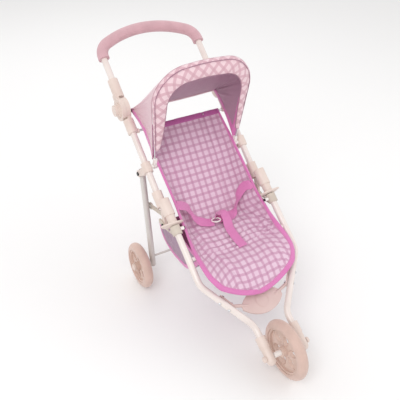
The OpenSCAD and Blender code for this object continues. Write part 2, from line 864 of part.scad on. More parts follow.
// Outline of the arch inside the bow, inset from its centre line
module arch_2d(inset, foot) {
    r = bow_corner_r - inset;
    top = bow_h - inset;
    slope = (bow_top_x - bow_foot_x) / (bow_h - 8);
    hull() {
        for (x = [-1, 1]) translate([x * (bow_top_x - inset - r - 2), top - r]) circle(r = r);
        translate([-(bow_foot_x - inset + slope * (foot - 8)), foot])
            square([2 * (bow_foot_x - inset + slope * (foot - 8)), 1]);
    }
}

module canopy_rim() {
    color("#dcb4c6") on_bow() translate([0, 0, -3]) linear_extrude(6) difference() {
        arch_2d(bow_d / 2 + 1, 30);
        arch_2d(rim_band, 0);
    }
}

hood_t = 2.5;
hood_back_x = hinge_in_x - 5;

// Convex form from the arch of the bow back to a straight line between the hinges
module hood_form(inset, foot, back_r, drop) {
    hull() {
        on_bow() translate([0, 0, -7.5]) linear_extrude(1) arch_2d(3 + inset, foot);
        for (p = drop) translate(at_x(inset - hood_back_x, on_upper(hinge_at) + p))
            rotate([0, 90, 0]) cylinder(r = back_r, h = 2 * (hood_back_x - inset), $fn = 16);
    }
}

module canopy_hood() {
    color("#dba6ba") difference() {
        hood_form(0, 34, 2, [[-4, 8]]);
        hood_form(hood_t, -60, 0.5, [[-7, 6.5], [-20, -70]]);
        on_bow() translate([-bow_top_x, -60, -8]) cube([2 * bow_top_x, 2 * bow_h, 40]);
    }
}

// ---- Rear legs and links ----

leg_dir = unit(rear_axle_p - leg_pin);
leg_over = 9;

module rear_leg(s) {
    top = at_x(leg_x, leg_pin - leg_over * leg_dir);
    foot = at_x(leg_x, rear_axle_p + 10 * leg_dir);
    axis = foot - top;
    color("#e9e0da") side(s) difference() {
        union() {
            rod(top, foot, tube_r);
            translate(foot) sphere(r = tube_r);
        }
        rod(top - cut * unit(axis), foot, tube_r - tube_wall);
        across(pin_d + 2 * run_gap, leg_x - 15, leg_x + 15, leg_pin);
        across(axle_d + 2 * seat_gap, leg_x - 15, leg_x + 15, rear_axle_p);
        across(stud_d + 2 * seat_gap, leg_x - 15, leg_x, link_end);
        across(rod_d + 2 * seat_gap, leg_x - 15, leg_x, cross_rod_p);
    }
}

cross_rod_p = rear_axle_p - 15 * leg_dir;

module leg_cross_rod() {
    x = leg_x - 2;
    color("#ecd9dc") across(rod_d, -x, x, cross_rod_p);
}

module rear_axles() {
    inner = wheel_x - hub_w / 2 - side_gap;
    color("#ead8cf") both_sides() {
        across(axle_d, leg_x - 6, wheel_x + hub_w / 2 + 4, rear_axle_p);
        across(13, leg_x + tube_r + 0.5, inner, rear_axle_p);
    }
    color("#2b2b2d") both_sides() {
        across(stud_d, link_x - link_t / 2 - side_gap - stud_head_t, leg_x - 2, link_end);
        across(16, link_x - link_t / 2 - side_gap - stud_head_t,
            link_x - link_t / 2 - side_gap, link_end);
        across(9, link_x + link_t / 2 + side_gap, leg_x - tube_r - 0.3, link_end);
    }
}

module rear_hub_caps() {
    face = wheel_x + hub_w / 2 + side_gap;
    color("#f1e7df") both_sides() difference() {
        domed_cap(18, 8, face, rear_axle_p);
        across(axle_d + 2 * seat_gap, face - cut, wheel_x + hub_w / 2 + 4, rear_axle_p);
    }
}

module fold_links() {
    span = link_end - link_pin;
    l = norm(span);
    hole_d = stud_d + 2 * link_slack;
    color("#cfc2b4") both_sides() translate(at_x(link_x - link_t / 2, link_pin))
        rotate([90, 0, 90]) rotate([0, 0, atan2(span[1], span[0])]) linear_extrude(link_t)
            difference() {
                union() {
                    circle(d = 16);
                    translate([0, -6]) square([l, 12]);
                    translate([l, 0]) circle(d = hole_d + 7);
                }
                circle(d = pin_d + 2 * run_gap);
                translate([l, 0]) circle(d = hole_d);
            }
}

// ---- Wheels ----

module tyre(r, x, p) {
    side_r = tyre_w / 2;
    core = r - side_r;
    inner = r - tyre_h;
    color("#dcc0b6") translate(at_x(x, p)) rotate([0, 90, 0]) rotate_extrude() intersection() {
        union() {
            translate([core, 0]) circle(r = side_r);
            translate([inner, -side_r + 2]) square([core - inner, tyre_w - 4]);
        }
        translate([inner, -tyre_w]) square([tyre_h + 1, 2 * tyre_w]);
    }
}

module rim(r, x, p) {
    outer = r - tyre_h - seat_gap;
    inner = outer - rim_wall;
    mid = (inner + hub_d / 2) / 2;
    l = inner - hub_d / 2 - 6;
    w = 2 * mid * sin(180 / rim_windows) * 0.62;
    arc = (l * l + w * w) / (4 * w);
    color("#ead8cf") translate(at_x(x, p)) rotate([0, 90, 0]) difference() {
        union() {
            difference() {
                cylinder(r = outer, h = tyre_w - 6, center = true);
                cylinder(r = inner, h = tyre_w, center = true);
            }
            cylinder(d = hub_d, h = hub_w, center = true);
            linear_extrude(web_t, center = true) difference() {
                circle(r = inner + 1);
                for (i = [0 : rim_windows - 1]) rotate(i * 360 / rim_windows)
                    translate([mid, 0]) intersection() {
                        translate([0, arc - w / 2]) circle(r = arc);
                        translate([0, w / 2 - arc]) circle(r = arc);
                    }
            }
        }
        cylinder(d = axle_d + 2 * run_gap, h = 2 * hub_w, center = true);
    }
}

front_tube(-1);  // front_tube_left
front_tube(1);  // front_tube_right
fork_sleeve(-1);  // fork_sleeve_left
fork_sleeve(1);  // fork_sleeve_right
front_axle();
axle_spacers();
axle_nuts();
tyre(front_wheel_r, 0, front_axle_p);  // front_tyre
rim(front_wheel_r, 0, front_axle_p);  // front_rim
footrest();
footrest_bolts();
fold_bracket(-1);  // fold_bracket_left
fold_bracket(1);  // fold_bracket_right
fold_pins();
fabric_spacers();
fabric_screws();
seat_base();
leg_flap();
lap_strap(-1);  // lap_strap_left
lap_strap(1);  // lap_strap_right
crotch_strap();
harness_ring();
basket();
upper_tube(-1);  // upper_tube_left
upper_tube(1);  // upper_tube_right
lock_housing(-1);  // lock_housing_left
lock_housing(1);  // lock_housing_right
leg_collar(-1);  // leg_collar_left
leg_collar(1);  // leg_collar_right
leg_pins();
canopy_pegs();
hinge_lower(-1);  // hinge_lower_left
hinge_lower(1);  // hinge_lower_right
hinge_pins();
back_rod();
backrest();
plunger(-1);  // plunger_left
plunger(1);  // plunger_right
lock_springs();
handle_tube();
foam_grip();
hinge_upper(-1);  // hinge_upper_left
hinge_upper(1);  // hinge_upper_right
hinge_button(-1);  // hinge_button_left
hinge_button(1);  // hinge_button_right
button_springs();
canopy_bow();
bow_clips();
canopy_rim();
canopy_hood();
rear_leg(-1);  // rear_leg_left
rear_leg(1);  // rear_leg_right
leg_cross_rod();
rear_axles();
rear_hub_caps();
fold_links();
tyre(rear_wheel_r, -wheel_x, rear_axle_p);  // rear_tyre_left
tyre(rear_wheel_r, wheel_x, rear_axle_p);  // rear_tyre_right
rim(rear_wheel_r, -wheel_x, rear_axle_p);  // rear_rim_left
rim(rear_wheel_r, wheel_x, rear_axle_p);  // rear_rim_right
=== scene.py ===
"""Looks of a folding doll stroller: enamelled tubes, moulded fittings and sewn soft goods round a fixed frame."""

from __future__ import annotations

import json
import logging
import math
from dataclasses import dataclass, field
from enum import Enum

import bmesh
import bpy
import numpy as np
from mathutils import Matrix, Vector
from mathutils.bvhtree import BVHTree

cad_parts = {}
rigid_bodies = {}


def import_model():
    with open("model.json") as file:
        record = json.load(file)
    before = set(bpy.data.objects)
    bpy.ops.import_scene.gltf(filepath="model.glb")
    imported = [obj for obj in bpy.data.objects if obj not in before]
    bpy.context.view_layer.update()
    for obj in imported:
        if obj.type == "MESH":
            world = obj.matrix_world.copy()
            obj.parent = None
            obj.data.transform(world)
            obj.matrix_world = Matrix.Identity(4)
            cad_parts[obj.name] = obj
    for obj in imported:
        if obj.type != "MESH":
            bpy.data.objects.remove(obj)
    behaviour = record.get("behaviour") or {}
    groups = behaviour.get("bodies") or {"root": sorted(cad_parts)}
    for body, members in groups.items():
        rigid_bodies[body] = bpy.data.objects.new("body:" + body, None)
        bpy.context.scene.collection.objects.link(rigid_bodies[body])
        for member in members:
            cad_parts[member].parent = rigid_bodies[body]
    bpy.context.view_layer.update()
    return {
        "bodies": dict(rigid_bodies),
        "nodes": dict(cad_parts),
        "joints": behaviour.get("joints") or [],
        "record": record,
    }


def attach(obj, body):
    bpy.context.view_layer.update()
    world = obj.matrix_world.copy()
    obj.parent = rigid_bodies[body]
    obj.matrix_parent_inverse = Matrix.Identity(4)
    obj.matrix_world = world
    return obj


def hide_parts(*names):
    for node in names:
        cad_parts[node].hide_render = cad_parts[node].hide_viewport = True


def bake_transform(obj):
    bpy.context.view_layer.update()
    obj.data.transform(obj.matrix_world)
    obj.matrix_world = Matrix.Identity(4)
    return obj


LOG = logging.getLogger("stroller")
UV_NAME = "cut"
Colour = tuple[float, float, float]
X_AXIS = np.array([1.0, 0.0, 0.0])


class Side(Enum):
    """A side of the stroller, as the sign of its X."""

    LEFT = -1
    RIGHT = 1


class Check(Enum):
    """How the checked cloth is laid, as the turn of its pattern in degrees."""

    STRAIGHT = 0.0
    BIAS = 45.0


# ---- Shader trees ----


class Tree:
    """Short calls that add nodes to a shader tree.

    Args:
        tree: The node tree of a material or of a group.
    """

    def __init__(self, tree: bpy.types.NodeTree) -> None:
        self.tree = tree

    def add(self, kind: str, inputs: dict | None = None, **settings: object) -> bpy.types.Node:
        """Adds one node.

        Args:
            kind: The node's Blender type.
            inputs: Values or output sockets for its inputs, by name or by number.
            settings: Attributes set on the node first.

        Returns:
            The new node.
        """
        node = self.tree.nodes.new(kind)
        for name, value in settings.items():
            setattr(node, name, value)
        for key, value in (inputs or {}).items():
            if isinstance(value, bpy.types.NodeSocket):
                self.tree.links.new(value, node.inputs[key])
            else:
                node.inputs[key].default_value = value
        return node

    def math(self, operation: str, *values: object) -> bpy.types.NodeSocket:
        """Adds a Math node and returns its output."""
        return self.add("ShaderNodeMath", dict(enumerate(values)), operation=operation).outputs[0]

    def spread(self, value: object, low: float, high: float, to_low: float, to_high: float) -> bpy.types.NodeSocket:
        """Maps a value from one span to another, held at its ends.

        Args:
            value: The socket to map.
            low: Start of the span that comes in.
            high: End of the span that comes in.
            to_low: Start of the span that goes out.
            to_high: End of the span that goes out.

        Returns:
            The mapped socket.
        """
        return self.add("ShaderNodeMapRange", {0: value, 1: low, 2: high, 3: to_low, 4: to_high}).outputs[0]

    def blend(self, share: object, a: object, b: object) -> bpy.types.NodeSocket:
        """Mixes two colours and returns the mixed socket.

        Args:
            share: Share of the second colour, as a socket or a number.
            a: First colour, as a socket or a colour.
            b: Second colour, likewise.

        Returns:
            The mixed socket.
        """
        node = self.add("ShaderNodeMix", {0: share}, data_type="RGBA")
        for slot, colour in ((6, a), (7, b)):
            if isinstance(colour, bpy.types.NodeSocket):
                self.tree.links.new(colour, node.inputs[slot])
            else:
                node.inputs[slot].default_value = (*colour, 1.0)
        return node.outputs[2]

    def noise(self, at: object, scale: float, detail: float = 2.0) -> bpy.types.NodeSocket:
        """Adds a Noise Texture and returns its factor."""
        return self.add("ShaderNodeTexNoise", {"Vector": at, "Scale": scale, "Detail": detail}).outputs[0]


def make_group(name: str, inputs: dict[str, tuple[str, object]], outputs: dict[str, str]) -> tuple:
    """Makes an empty shader group with its sockets.

    Args:
        name: The group's name.
        inputs: Each input's socket type and default value, by name.
        outputs: Each output's socket type, by name.

    Returns:
        The group, its Tree, its input node and its output node.
    """
    group = bpy.data.node_groups.new(name, "ShaderNodeTree")
    for label, (kind, value) in inputs.items():
        socket = group.interface.new_socket(label, in_out="INPUT", socket_type=kind)
        if value is not None:
            socket.default_value = value
    for label, kind in outputs.items():
        group.interface.new_socket(label, in_out="OUTPUT", socket_type=kind)
    tree = Tree(group)
    return group, tree, tree.add("NodeGroupInput"), tree.add("NodeGroupOutput")


def wear_group() -> bpy.types.NodeTree:
    """Builds the shared wear effect: soft uneven tone, fine dust on upward faces and tiny scuffs.

    Returns:
        The group, with outputs Tone, Scuff and Dust.
    """
    number, vector = "NodeSocketFloat", "NodeSocketVector"
    group, tree, start, end = make_group(
        "surface_wear",
        {"Place": (vector, None), "Patch Scale": (number, 30.0), "Scuff Scale": (number, 260.0)},
        {"Tone": number, "Scuff": number, "Dust": number},
    )
    place = start.outputs["Place"]
    patch = tree.add("ShaderNodeTexNoise", {"Vector": place, "Scale": start.outputs["Patch Scale"], "Detail": 3.0})
    scuff = tree.add("ShaderNodeTexNoise", {"Vector": place, "Scale": start.outputs["Scuff Scale"], "Detail": 5.0})
    up = tree.add("ShaderNodeSeparateXYZ", {0: tree.add("ShaderNodeNewGeometry").outputs["Normal"]}).outputs[2]
    links = group.links
    links.new(tree.spread(patch.outputs[0], 0.3, 0.7, 0.0, 1.0), end.inputs["Tone"])
    links.new(tree.spread(scuff.outputs[0], 0.62, 0.74, 0.0, 1.0), end.inputs["Scuff"])
    dust = tree.math("MULTIPLY", tree.spread(up, 0.3, 1.0, 0.0, 1.0), tree.spread(patch.outputs[0], 0.4, 0.7, 0.2, 1.0))
    links.new(dust, end.inputs["Dust"])
    return group


def weave_group() -> bpy.types.NodeTree:
    """Builds the shared plain weave on a piece's own UV map in metres.

    Returns:
        The group, with outputs Height and Thread.
    """
    number, vector = "NodeSocketFloat", "NodeSocketVector"
    group, tree, start, end = make_group(
        "plain_weave",
        {"Cut": (vector, None), "Threads per Metre": (number, 1400.0)},
        {"Height": number, "Thread": number},
    )
    cut = tree.add("ShaderNodeSeparateXYZ", {0: start.outputs["Cut"]})
    pitch = start.outputs["Threads per Metre"]
    waves = []
    for axis in (0, 1):
        turn = tree.math("MULTIPLY", tree.math("MULTIPLY", cut.outputs[axis], pitch), math.pi)
        waves.append(tree.math("ABSOLUTE", tree.math("SINE", turn)))
    height = tree.math("MULTIPLY", waves[0], waves[1])
    group.links.new(height, end.inputs["Height"])
    fluff = tree.noise(start.outputs["Cut"], 900.0, 3.0)
    group.links.new(tree.math("MULTIPLY", fluff, height), end.inputs["Thread"])
    return group


def check_group() -> bpy.types.NodeTree:
    """Builds the shared woven check: light squares, bands between them and dark crossings.

    Returns:
        The group, with outputs Across, Along and Light.
    """
    number, vector = "NodeSocketFloat", "NodeSocketVector"
    group, tree, start, end = make_group(
        "woven_check",
        {"Cut": (vector, None), "Pitch": (number, 0.018), "Band": (number, 0.36), "Turn": (number, 0.0)},
        {"Across": number, "Along": number, "Light": number},
    )
    turned = tree.add(
        "ShaderNodeVectorRotate",
        {"Vector": start.outputs["Cut"], "Angle": start.outputs["Turn"]},
        rotation_type="Z_AXIS",
    )
    wobble = tree.math("MULTIPLY", tree.noise(start.outputs["Cut"], 300.0, 2.0), 0.10)
    cut = tree.add("ShaderNodeSeparateXYZ", {0: turned.outputs[0]})
    bands = []
    for axis, label in ((0, "Across"), (1, "Along")):
        share = tree.math("DIVIDE", cut.outputs[axis], start.outputs["Pitch"])
        fraction = tree.math("FRACT", tree.math("ADD", tree.math("ADD", share, wobble), 100.5 - 0.05))
        off_middle = tree.math("ABSOLUTE", tree.math("SUBTRACT", fraction, 0.5))
        edge = tree.math("SUBTRACT", 0.5, tree.math("MULTIPLY", start.outputs["Band"], 0.5))
        band = tree.add(
            "ShaderNodeMapRange",
            {0: off_middle, 1: tree.math("SUBTRACT", edge, 0.035), 2: tree.math("ADD", edge, 0.035), 3: 0.0, 4: 1.0},
            interpolation_type="SMOOTHSTEP",
        ).outputs[0]
        bands.append(band)
        group.links.new(band, end.inputs[label])
    light = tree.math("MULTIPLY", tree.math("SUBTRACT", 1.0, bands[0]), tree.math("SUBTRACT", 1.0, bands[1]))
    group.links.new(light, end.inputs["Light"])
    return group


class Shared:
    """The shader groups that more than one finish uses, each built once."""

    _built: dict[str, bpy.types.NodeTree] = {}

    @classmethod
    def get(cls, name: str) -> bpy.types.NodeTree:
        """Returns the named group, and builds it the first time."""
        makers = {"wear": wear_group, "weave": weave_group, "check": check_group}
        if name not in cls._built:
            cls._built[name] = makers[name]()
        return cls._built[name]


@dataclass(frozen=True)
class Finish:
    """A finish: it names its material and dresses a tree.

    Args:
        name: The material's name.
    """

    name: str

    def material(self) -> bpy.types.Material:
        """Returns this finish's material, and builds it the first time."""
        label = f"{self.name}_finish"
        made = bpy.data.materials.get(label)
        if made is None:
            made = bpy.data.materials.new(label)
            made.use_nodes = True
            self.dress(Tree(made.node_tree), made.node_tree.nodes["Principled BSDF"])
        return made

    def dress(self, tree: Tree, shader: bpy.types.Node) -> None:
        """Adds this finish's nodes.

        Args:
            tree: The material's tree.
            shader: Its Principled BSDF.
        """
        raise NotImplementedError

    @staticmethod
    def group(tree: Tree, name: str, inputs: dict) -> bpy.types.Node:
        """Places a shared group in a material, with its own values.

        Args:
            tree: The material's tree.
            name: Which shared group.
            inputs: Values or sockets for its inputs, by name.

        Returns:
            The group's node.
        """
        node = tree.add("ShaderNodeGroup", node_tree=Shared.get(name))
        for label, value in inputs.items():
            if isinstance(value, bpy.types.NodeSocket):
                tree.tree.links.new(value, node.inputs[label])
            else:
                node.inputs[label].default_value = value
        return node

    @staticmethod
    def bump(tree: Tree, shader: bpy.types.Node, height: object, strength: float, reach: float) -> None:
        """Feeds a height to the shader's normal.

        Args:
            tree: The material's tree.
            shader: Its Principled BSDF.
            height: The height.
            strength: Share of the bump that shows.
            reach: Height of a full step, in metres.
        """
        node = tree.add("ShaderNodeBump", {"Height": height, "Strength": strength, "Distance": reach})
        tree.tree.links.new(node.outputs[0], shader.inputs["Normal"])


@dataclass(frozen=True)
class Hard(Finish):
    """A hard finish: enamel, moulded plastic, rubber or metal, with uneven tone, dust and scuffs.

    Args:
        colour: Main colour.
        shade: Colour of its darker patches.
        rough: Roughness where it is clean.
        metal: Metallic share.
        coat: Clear coat, as on enamel.
        grain_scale: Scale of its fine grain.
        grain: Height of its fine grain, in metres.
        patch_scale: Scale of its uneven tone.
    """

    colour: Colour = (0.8, 0.8, 0.8)
    shade: Colour = (0.7, 0.7, 0.7)
    rough: float = 0.35
    metal: float = 0.0
    coat: float = 0.0
    grain_scale: float = 900.0
    grain: float = 0.00002
    patch_scale: float = 22.0

    def dress(self, tree: Tree, shader: bpy.types.Node) -> None:
        """Adds uneven tone, dust, scuffs and grain.

        Args:
            tree: The material's tree.
            shader: Its Principled BSDF.
        """
        place = tree.add("ShaderNodeTexCoord").outputs["Object"]
        wear = self.group(tree, "wear", {"Place": place, "Patch Scale": self.patch_scale, "Scuff Scale": 420.0})
        toned = tree.blend(wear.outputs["Tone"], self.shade, self.colour)
        dull = tuple(0.82 * c + 0.10 for c in self.shade)
        worn = tree.blend(tree.math("MULTIPLY", wear.outputs["Dust"], 0.16), toned, dull)
        deep = tuple(0.75 * c for c in self.shade)
        scuffed = tree.blend(tree.math("MULTIPLY", wear.outputs["Scuff"], 0.18), worn, deep)
        links = tree.tree.links
        links.new(scuffed, shader.inputs["Base Color"])
        rough = tree.math("ADD", tree.math("MULTIPLY", wear.outputs["Dust"], 0.12), self.rough)
        scratched = tree.math("MULTIPLY", wear.outputs["Scuff"], 0.10)
        links.new(tree.math("ADD", rough, scratched), shader.inputs["Roughness"])
        shader.inputs["Metallic"].default_value = self.metal
        shader.inputs["Coat Weight"].default_value = self.coat
        shader.inputs["Coat Roughness"].default_value = 0.12
        self.bump(tree, shader, tree.noise(place, self.grain_scale, 4.0), 0.6, self.grain)


@dataclass(frozen=True)
class Foam(Finish):
    """Closed-cell foam, with open pores that are coloured darker as painted shade.

    Args:
        colour: Colour of the skin.
        pore_shade: Painted shade in the pores, darker than the skin.
        pore_scale: Scale of the pores.
        rough: Roughness of the skin.
    """

    colour: Colour = (0.7, 0.4, 0.45)
    pore_shade: Colour = (0.5, 0.3, 0.35)
    pore_scale: float = 700.0
    rough: float = 0.8

    def dress(self, tree: Tree, shader: bpy.types.Node) -> None:
        """Adds the pores, coloured darker as painted shade, and a soft mottle.

        Args:
            tree: The material's tree.
            shader: Its Principled BSDF.
        """
        place = tree.add("ShaderNodeTexCoord").outputs["Object"]
        cells = tree.add("ShaderNodeTexVoronoi", {"Vector": place, "Scale": self.pore_scale}).outputs["Distance"]
        pores = tree.spread(cells, 0.05, 0.38, 0.0, 1.0)
        mottle = tree.spread(tree.noise(place, 36.0, 4.0), 0.3, 0.7, 0.0, 1.0)
        skin = tree.blend(mottle, tuple(0.88 * c for c in self.colour), self.colour)
        links = tree.tree.links
        # The pores take the darker pore colour: painted shade in the pores.
        links.new(tree.blend(pores, self.pore_shade, skin), shader.inputs["Base Color"])
        links.new(tree.spread(mottle, 0.0, 1.0, self.rough, self.rough - 0.12), shader.inputs["Roughness"])
        shader.inputs["Sheen Weight"].default_value = 0.25
        self.bump(tree, shader, pores, 0.7, 0.0003)


@dataclass(frozen=True)
class Cloth(Finish):
    """Plain dyed cloth or webbing on its own UV map.

    Args:
        colour: Colour of the raised threads.
        shade: Painted shade between the threads, and the colour of its soft patches.
        threads: Threads to the metre.
        relief: Height of the threads, in metres.
        rough: Roughness.
        sheen: Sheen weight.
        ribs: Ribs to the metre along the cloth, as on webbing, or 0.
    """

    colour: Colour = (0.7, 0.2, 0.5)
    shade: Colour = (0.5, 0.1, 0.35)
    threads: float = 1300.0
    relief: float = 0.00012
    rough: float = 0.7
    sheen: float = 0.3
    ribs: float = 0.0

    def dress(self, tree: Tree, shader: bpy.types.Node) -> None:
        """Adds the weave, its colour with painted shade between the threads, and its ribs.

        Args:
            tree: The material's tree.
            shader: Its Principled BSDF.
        """
        cut = tree.add("ShaderNodeUVMap", uv_map=UV_NAME).outputs[0]
        weave = self.group(tree, "weave", {"Cut": cut, "Threads per Metre": self.threads})
        patch = tree.spread(tree.noise(cut, 45.0, 3.0), 0.3, 0.7, 0.0, 0.35)
        # Painted shade: the shade colour fills the gaps between the threads, where the weave is low.
        base = tree.blend(tree.spread(weave.outputs["Height"], 0.0, 0.8, 0.0, 1.0), self.shade, self.colour)
        links = tree.tree.links
        links.new(tree.blend(patch, base, self.shade), shader.inputs["Base Color"])
        rough = tree.spread(weave.outputs["Thread"], 0.0, 0.6, self.rough + 0.08, self.rough - 0.08)
        links.new(rough, shader.inputs["Roughness"])
        shader.inputs["Sheen Weight"].default_value = self.sheen
        height = weave.outputs["Height"]
        if self.ribs:
            along = tree.add("ShaderNodeSeparateXYZ", {0: cut}).outputs[1]
            rib = tree.math("ABSOLUTE", tree.math("SINE", tree.math("MULTIPLY", along, self.ribs * math.pi)))
            height = tree.math("ADD", height, tree.math("MULTIPLY", rib, 1.5))
        self.bump(tree, shader, height, 0.55, self.relief)


@dataclass(frozen=True)
class Gingham(Finish):
    """Woven checked cloth.

    Args:
        light: Colour of the light squares.
        band: Colour of the bands between them.
        cross: Colour where two bands cross, also used as painted shade between the threads.
        pitch: Distance from one square to the next, in metres.
        rough: Roughness.
    """

    light: Colour = (0.78, 0.65, 0.76)
    band: Colour = (0.6, 0.38, 0.5)
    cross: Colour = (0.5, 0.28, 0.4)
    pitch: float = 0.018
    lay: Check = Check.STRAIGHT
    rough: float = 0.62

    def dress(self, tree: Tree, shader: bpy.types.Node) -> None:
        """Adds the check, the weave with painted shade between its threads, and a soft unevenness.

        Args:
            tree: The material's tree.
            shader: Its Principled BSDF.
        """
        cut = tree.add("ShaderNodeUVMap", uv_map=UV_NAME).outputs[0]
        check = self.group(tree, "check", {"Cut": cut, "Pitch": self.pitch, "Turn": math.radians(self.lay.value)})
        weave = self.group(tree, "weave", {"Cut": cut, "Threads per Metre": 1700.0})
        crossing = tree.math("MULTIPLY", check.outputs["Across"], check.outputs["Along"])
        banded = tree.blend(crossing, self.band, self.cross)
        checked = tree.blend(check.outputs["Light"], banded, self.light)
        patch = tree.spread(tree.noise(cut, 22.0, 3.0), 0.3, 0.75, 0.0, 0.28)
        soft = tree.blend(patch, checked, self.band)
        links = tree.tree.links
        # Painted shade between the threads: darker towards the crossing colour where the weave is low.
        thread_gap_shade = tree.spread(weave.outputs["Height"], 0.0, 0.5, 0.16, 0.0)
        links.new(tree.blend(thread_gap_shade, soft, self.cross), shader.inputs["Base Color"])
        rough = tree.spread(weave.outputs["Thread"], 0.0, 0.6, self.rough + 0.1, self.rough - 0.06)
        links.new(rough, shader.inputs["Roughness"])
        shader.inputs["Sheen Weight"].default_value = 0.25
        puff = tree.math("MULTIPLY", check.outputs["Light"], 0.8)
        self.bump(tree, shader, tree.math("ADD", weave.outputs["Height"], puff), 0.5, 0.00012)


class Palette:
    """Every finish of the stroller."""

    TUBE = Hard("ivory_enamel", (0.84, 0.76, 0.72), (0.78, 0.69, 0.65), 0.26, 0.0, 0.5, 500.0, 0.00001)
    LEG = Hard("leg_enamel", (0.70, 0.67, 0.64), (0.62, 0.58, 0.55), 0.30, 0.0, 0.45, 500.0, 0.00001)
    PALE = Hard("blush_plastic", (0.80, 0.68, 0.62), (0.72, 0.59, 0.53), 0.38, 0.0, 0.0, 1400.0, 0.00003)
    RIM = Hard("rim_plastic", (0.72, 0.55, 0.48), (0.62, 0.45, 0.38), 0.42, 0.0, 0.0, 1400.0, 0.00003)
    REST = Hard("rest_plastic", (0.72, 0.55, 0.52), (0.66, 0.49, 0.46), 0.42, 0.0, 0.0, 1400.0, 0.00004)
    WHITE = Hard("white_plastic", (0.92, 0.88, 0.85), (0.86, 0.81, 0.78), 0.32, 0.0, 0.0, 1200.0, 0.00002)
    BRACKET = Hard("bracket_plastic", (0.66, 0.58, 0.50), (0.55, 0.47, 0.40), 0.45, 0.0, 0.0, 1200.0, 0.00004)
    BLACK = Hard("black_steel", (0.03, 0.03, 0.032), (0.02, 0.02, 0.02), 0.35, 0.6, 0.0, 900.0, 0.00002)
    STEEL = Hard("bright_steel", (0.80, 0.80, 0.82), (0.62, 0.62, 0.64), 0.22, 1.0, 0.0, 1500.0, 0.00001)
    TYRE = Foam("tyre_foam", (0.70, 0.50, 0.43), (0.60, 0.41, 0.35), 1500.0, 0.62)
    GRIP = Foam("grip_foam", (0.68, 0.42, 0.46), (0.52, 0.29, 0.33), 800.0, 0.85)
    SEAT = Gingham("seat_gingham", (0.80, 0.60, 0.72), (0.62, 0.36, 0.50), (0.53, 0.27, 0.41))
    BAND = Gingham("rim_gingham", (0.86, 0.66, 0.70), (0.68, 0.43, 0.49), (0.62, 0.37, 0.43), 0.0185, Check.BIAS)
    SATIN = Cloth("canopy_satin", (0.70, 0.44, 0.50), (0.58, 0.33, 0.40), 2400.0, 0.00005, 0.48, 0.5)
    LINING = Cloth("canopy_lining", (0.50, 0.31, 0.41), (0.42, 0.24, 0.33), 1900.0, 0.00006, 0.65, 0.2)
    TAPE = Cloth("binding_tape", (0.78, 0.26, 0.55), (0.62, 0.15, 0.41), 1800.0, 0.00008, 0.55, 0.4, 900.0)
    WEBBING = Cloth("harness_webbing", (0.80, 0.28, 0.56), (0.64, 0.17, 0.42), 1500.0, 0.00014, 0.55, 0.4, 520.0)
    HEM = Cloth("hem_tape", (0.58, 0.15, 0.42), (0.45, 0.09, 0.31), 1800.0, 0.00008, 0.55, 0.4, 900.0)
    PIPING = Cloth("dusk_piping", (0.42, 0.22, 0.30), (0.34, 0.16, 0.23), 1800.0, 0.00008, 0.6, 0.3)
    NET = Cloth("basket_net", (0.52, 0.38, 0.48), (0.30, 0.18, 0.27), 620.0, 0.00030, 0.6, 0.2)
    BACKING = Cloth("seat_backing", (0.40, 0.13, 0.26), (0.31, 0.08, 0.19), 1500.0, 0.00008, 0.75, 0.2)
    THREAD = Cloth("sewing_thread", (0.85, 0.45, 0.66), (0.70, 0.28, 0.50), 3000.0, 0.00004, 0.5, 0.4)
    FLOOR = Hard("studio_floor", (0.93, 0.93, 0.93), (0.92, 0.92, 0.92), 0.75, 0.0, 0.0, 40.0, 0.00001, 2.0)


# ---- Curves and meshes ----


def smooth_through(points: np.ndarray, count: int, even: bool = True) -> np.ndarray:
    """Runs a smooth curve through points.

    Args:
        points: Points to pass through, a row each.
        count: How many points to return.
        even: Whether they are spaced evenly along the curve, or evenly between the given points.

    Returns:
        The points on the curve.
    """
    p = np.asarray(points, float)
    if len(p) == 2:
        share = np.linspace(0, 1, count)[:, None]
        return p[0] * (1 - share) + p[1] * share
    ends = np.vstack([2 * p[0] - p[1], p, 2 * p[-1] - p[-2]])
    t = np.linspace(0, len(p) - 1, max(count, 8 * len(p)) if even else count)
    i = np.minimum(t.astype(int), len(p) - 2)
    f = (t - i)[:, None]
    a, b, c, d = ends[i], ends[i + 1], ends[i + 2], ends[i + 3]
    dense = 0.5 * (2 * b + (c - a) * f + (2 * a - 5 * b + 4 * c - d) * f**2 + (3 * b - a - 3 * c + d) * f**3)
    if not even:
        return dense
    length = np.concatenate([[0], np.cumsum(np.linalg.norm(np.diff(dense, axis=0), axis=1))])
    at = np.linspace(0, length[-1], count)
    return np.stack([np.interp(at, length, dense[:, k]) for k in range(3)], axis=1)


def unit(v: np.ndarray) -> np.ndarray:
    """Returns vectors of length 1 along the last axis."""
    return v / np.maximum(np.linalg.norm(v, axis=-1, keepdims=True), 1e-12)


def grid_normals(grid: np.ndarray) -> np.ndarray:
    """Returns the unit normals of a grid of points, rows by columns by 3."""
    return unit(np.cross(np.gradient(grid, axis=0), np.gradient(grid, axis=1)))


def arc_lengths(grid: np.ndarray, axis: int) -> np.ndarray:
    """Returns the distance run along one axis of a grid of points.

    Args:
        grid: Points, rows by columns by 3.
        axis: 0 down the rows, or 1 across the columns.

    Returns:
        The distance at each point, from 0.
    """
    steps = np.linalg.norm(np.diff(grid, axis=axis), axis=-1)
    pad = [(0, 0), (0, 0)]
    pad[axis] = (1, 0)
    return np.cumsum(np.pad(steps, pad), axis=axis)


def hump(x: np.ndarray, middle: object, width: float) -> np.ndarray:
    """Returns a smooth hump of height 1."""
    return np.exp(-(((x - middle) / width) ** 2))


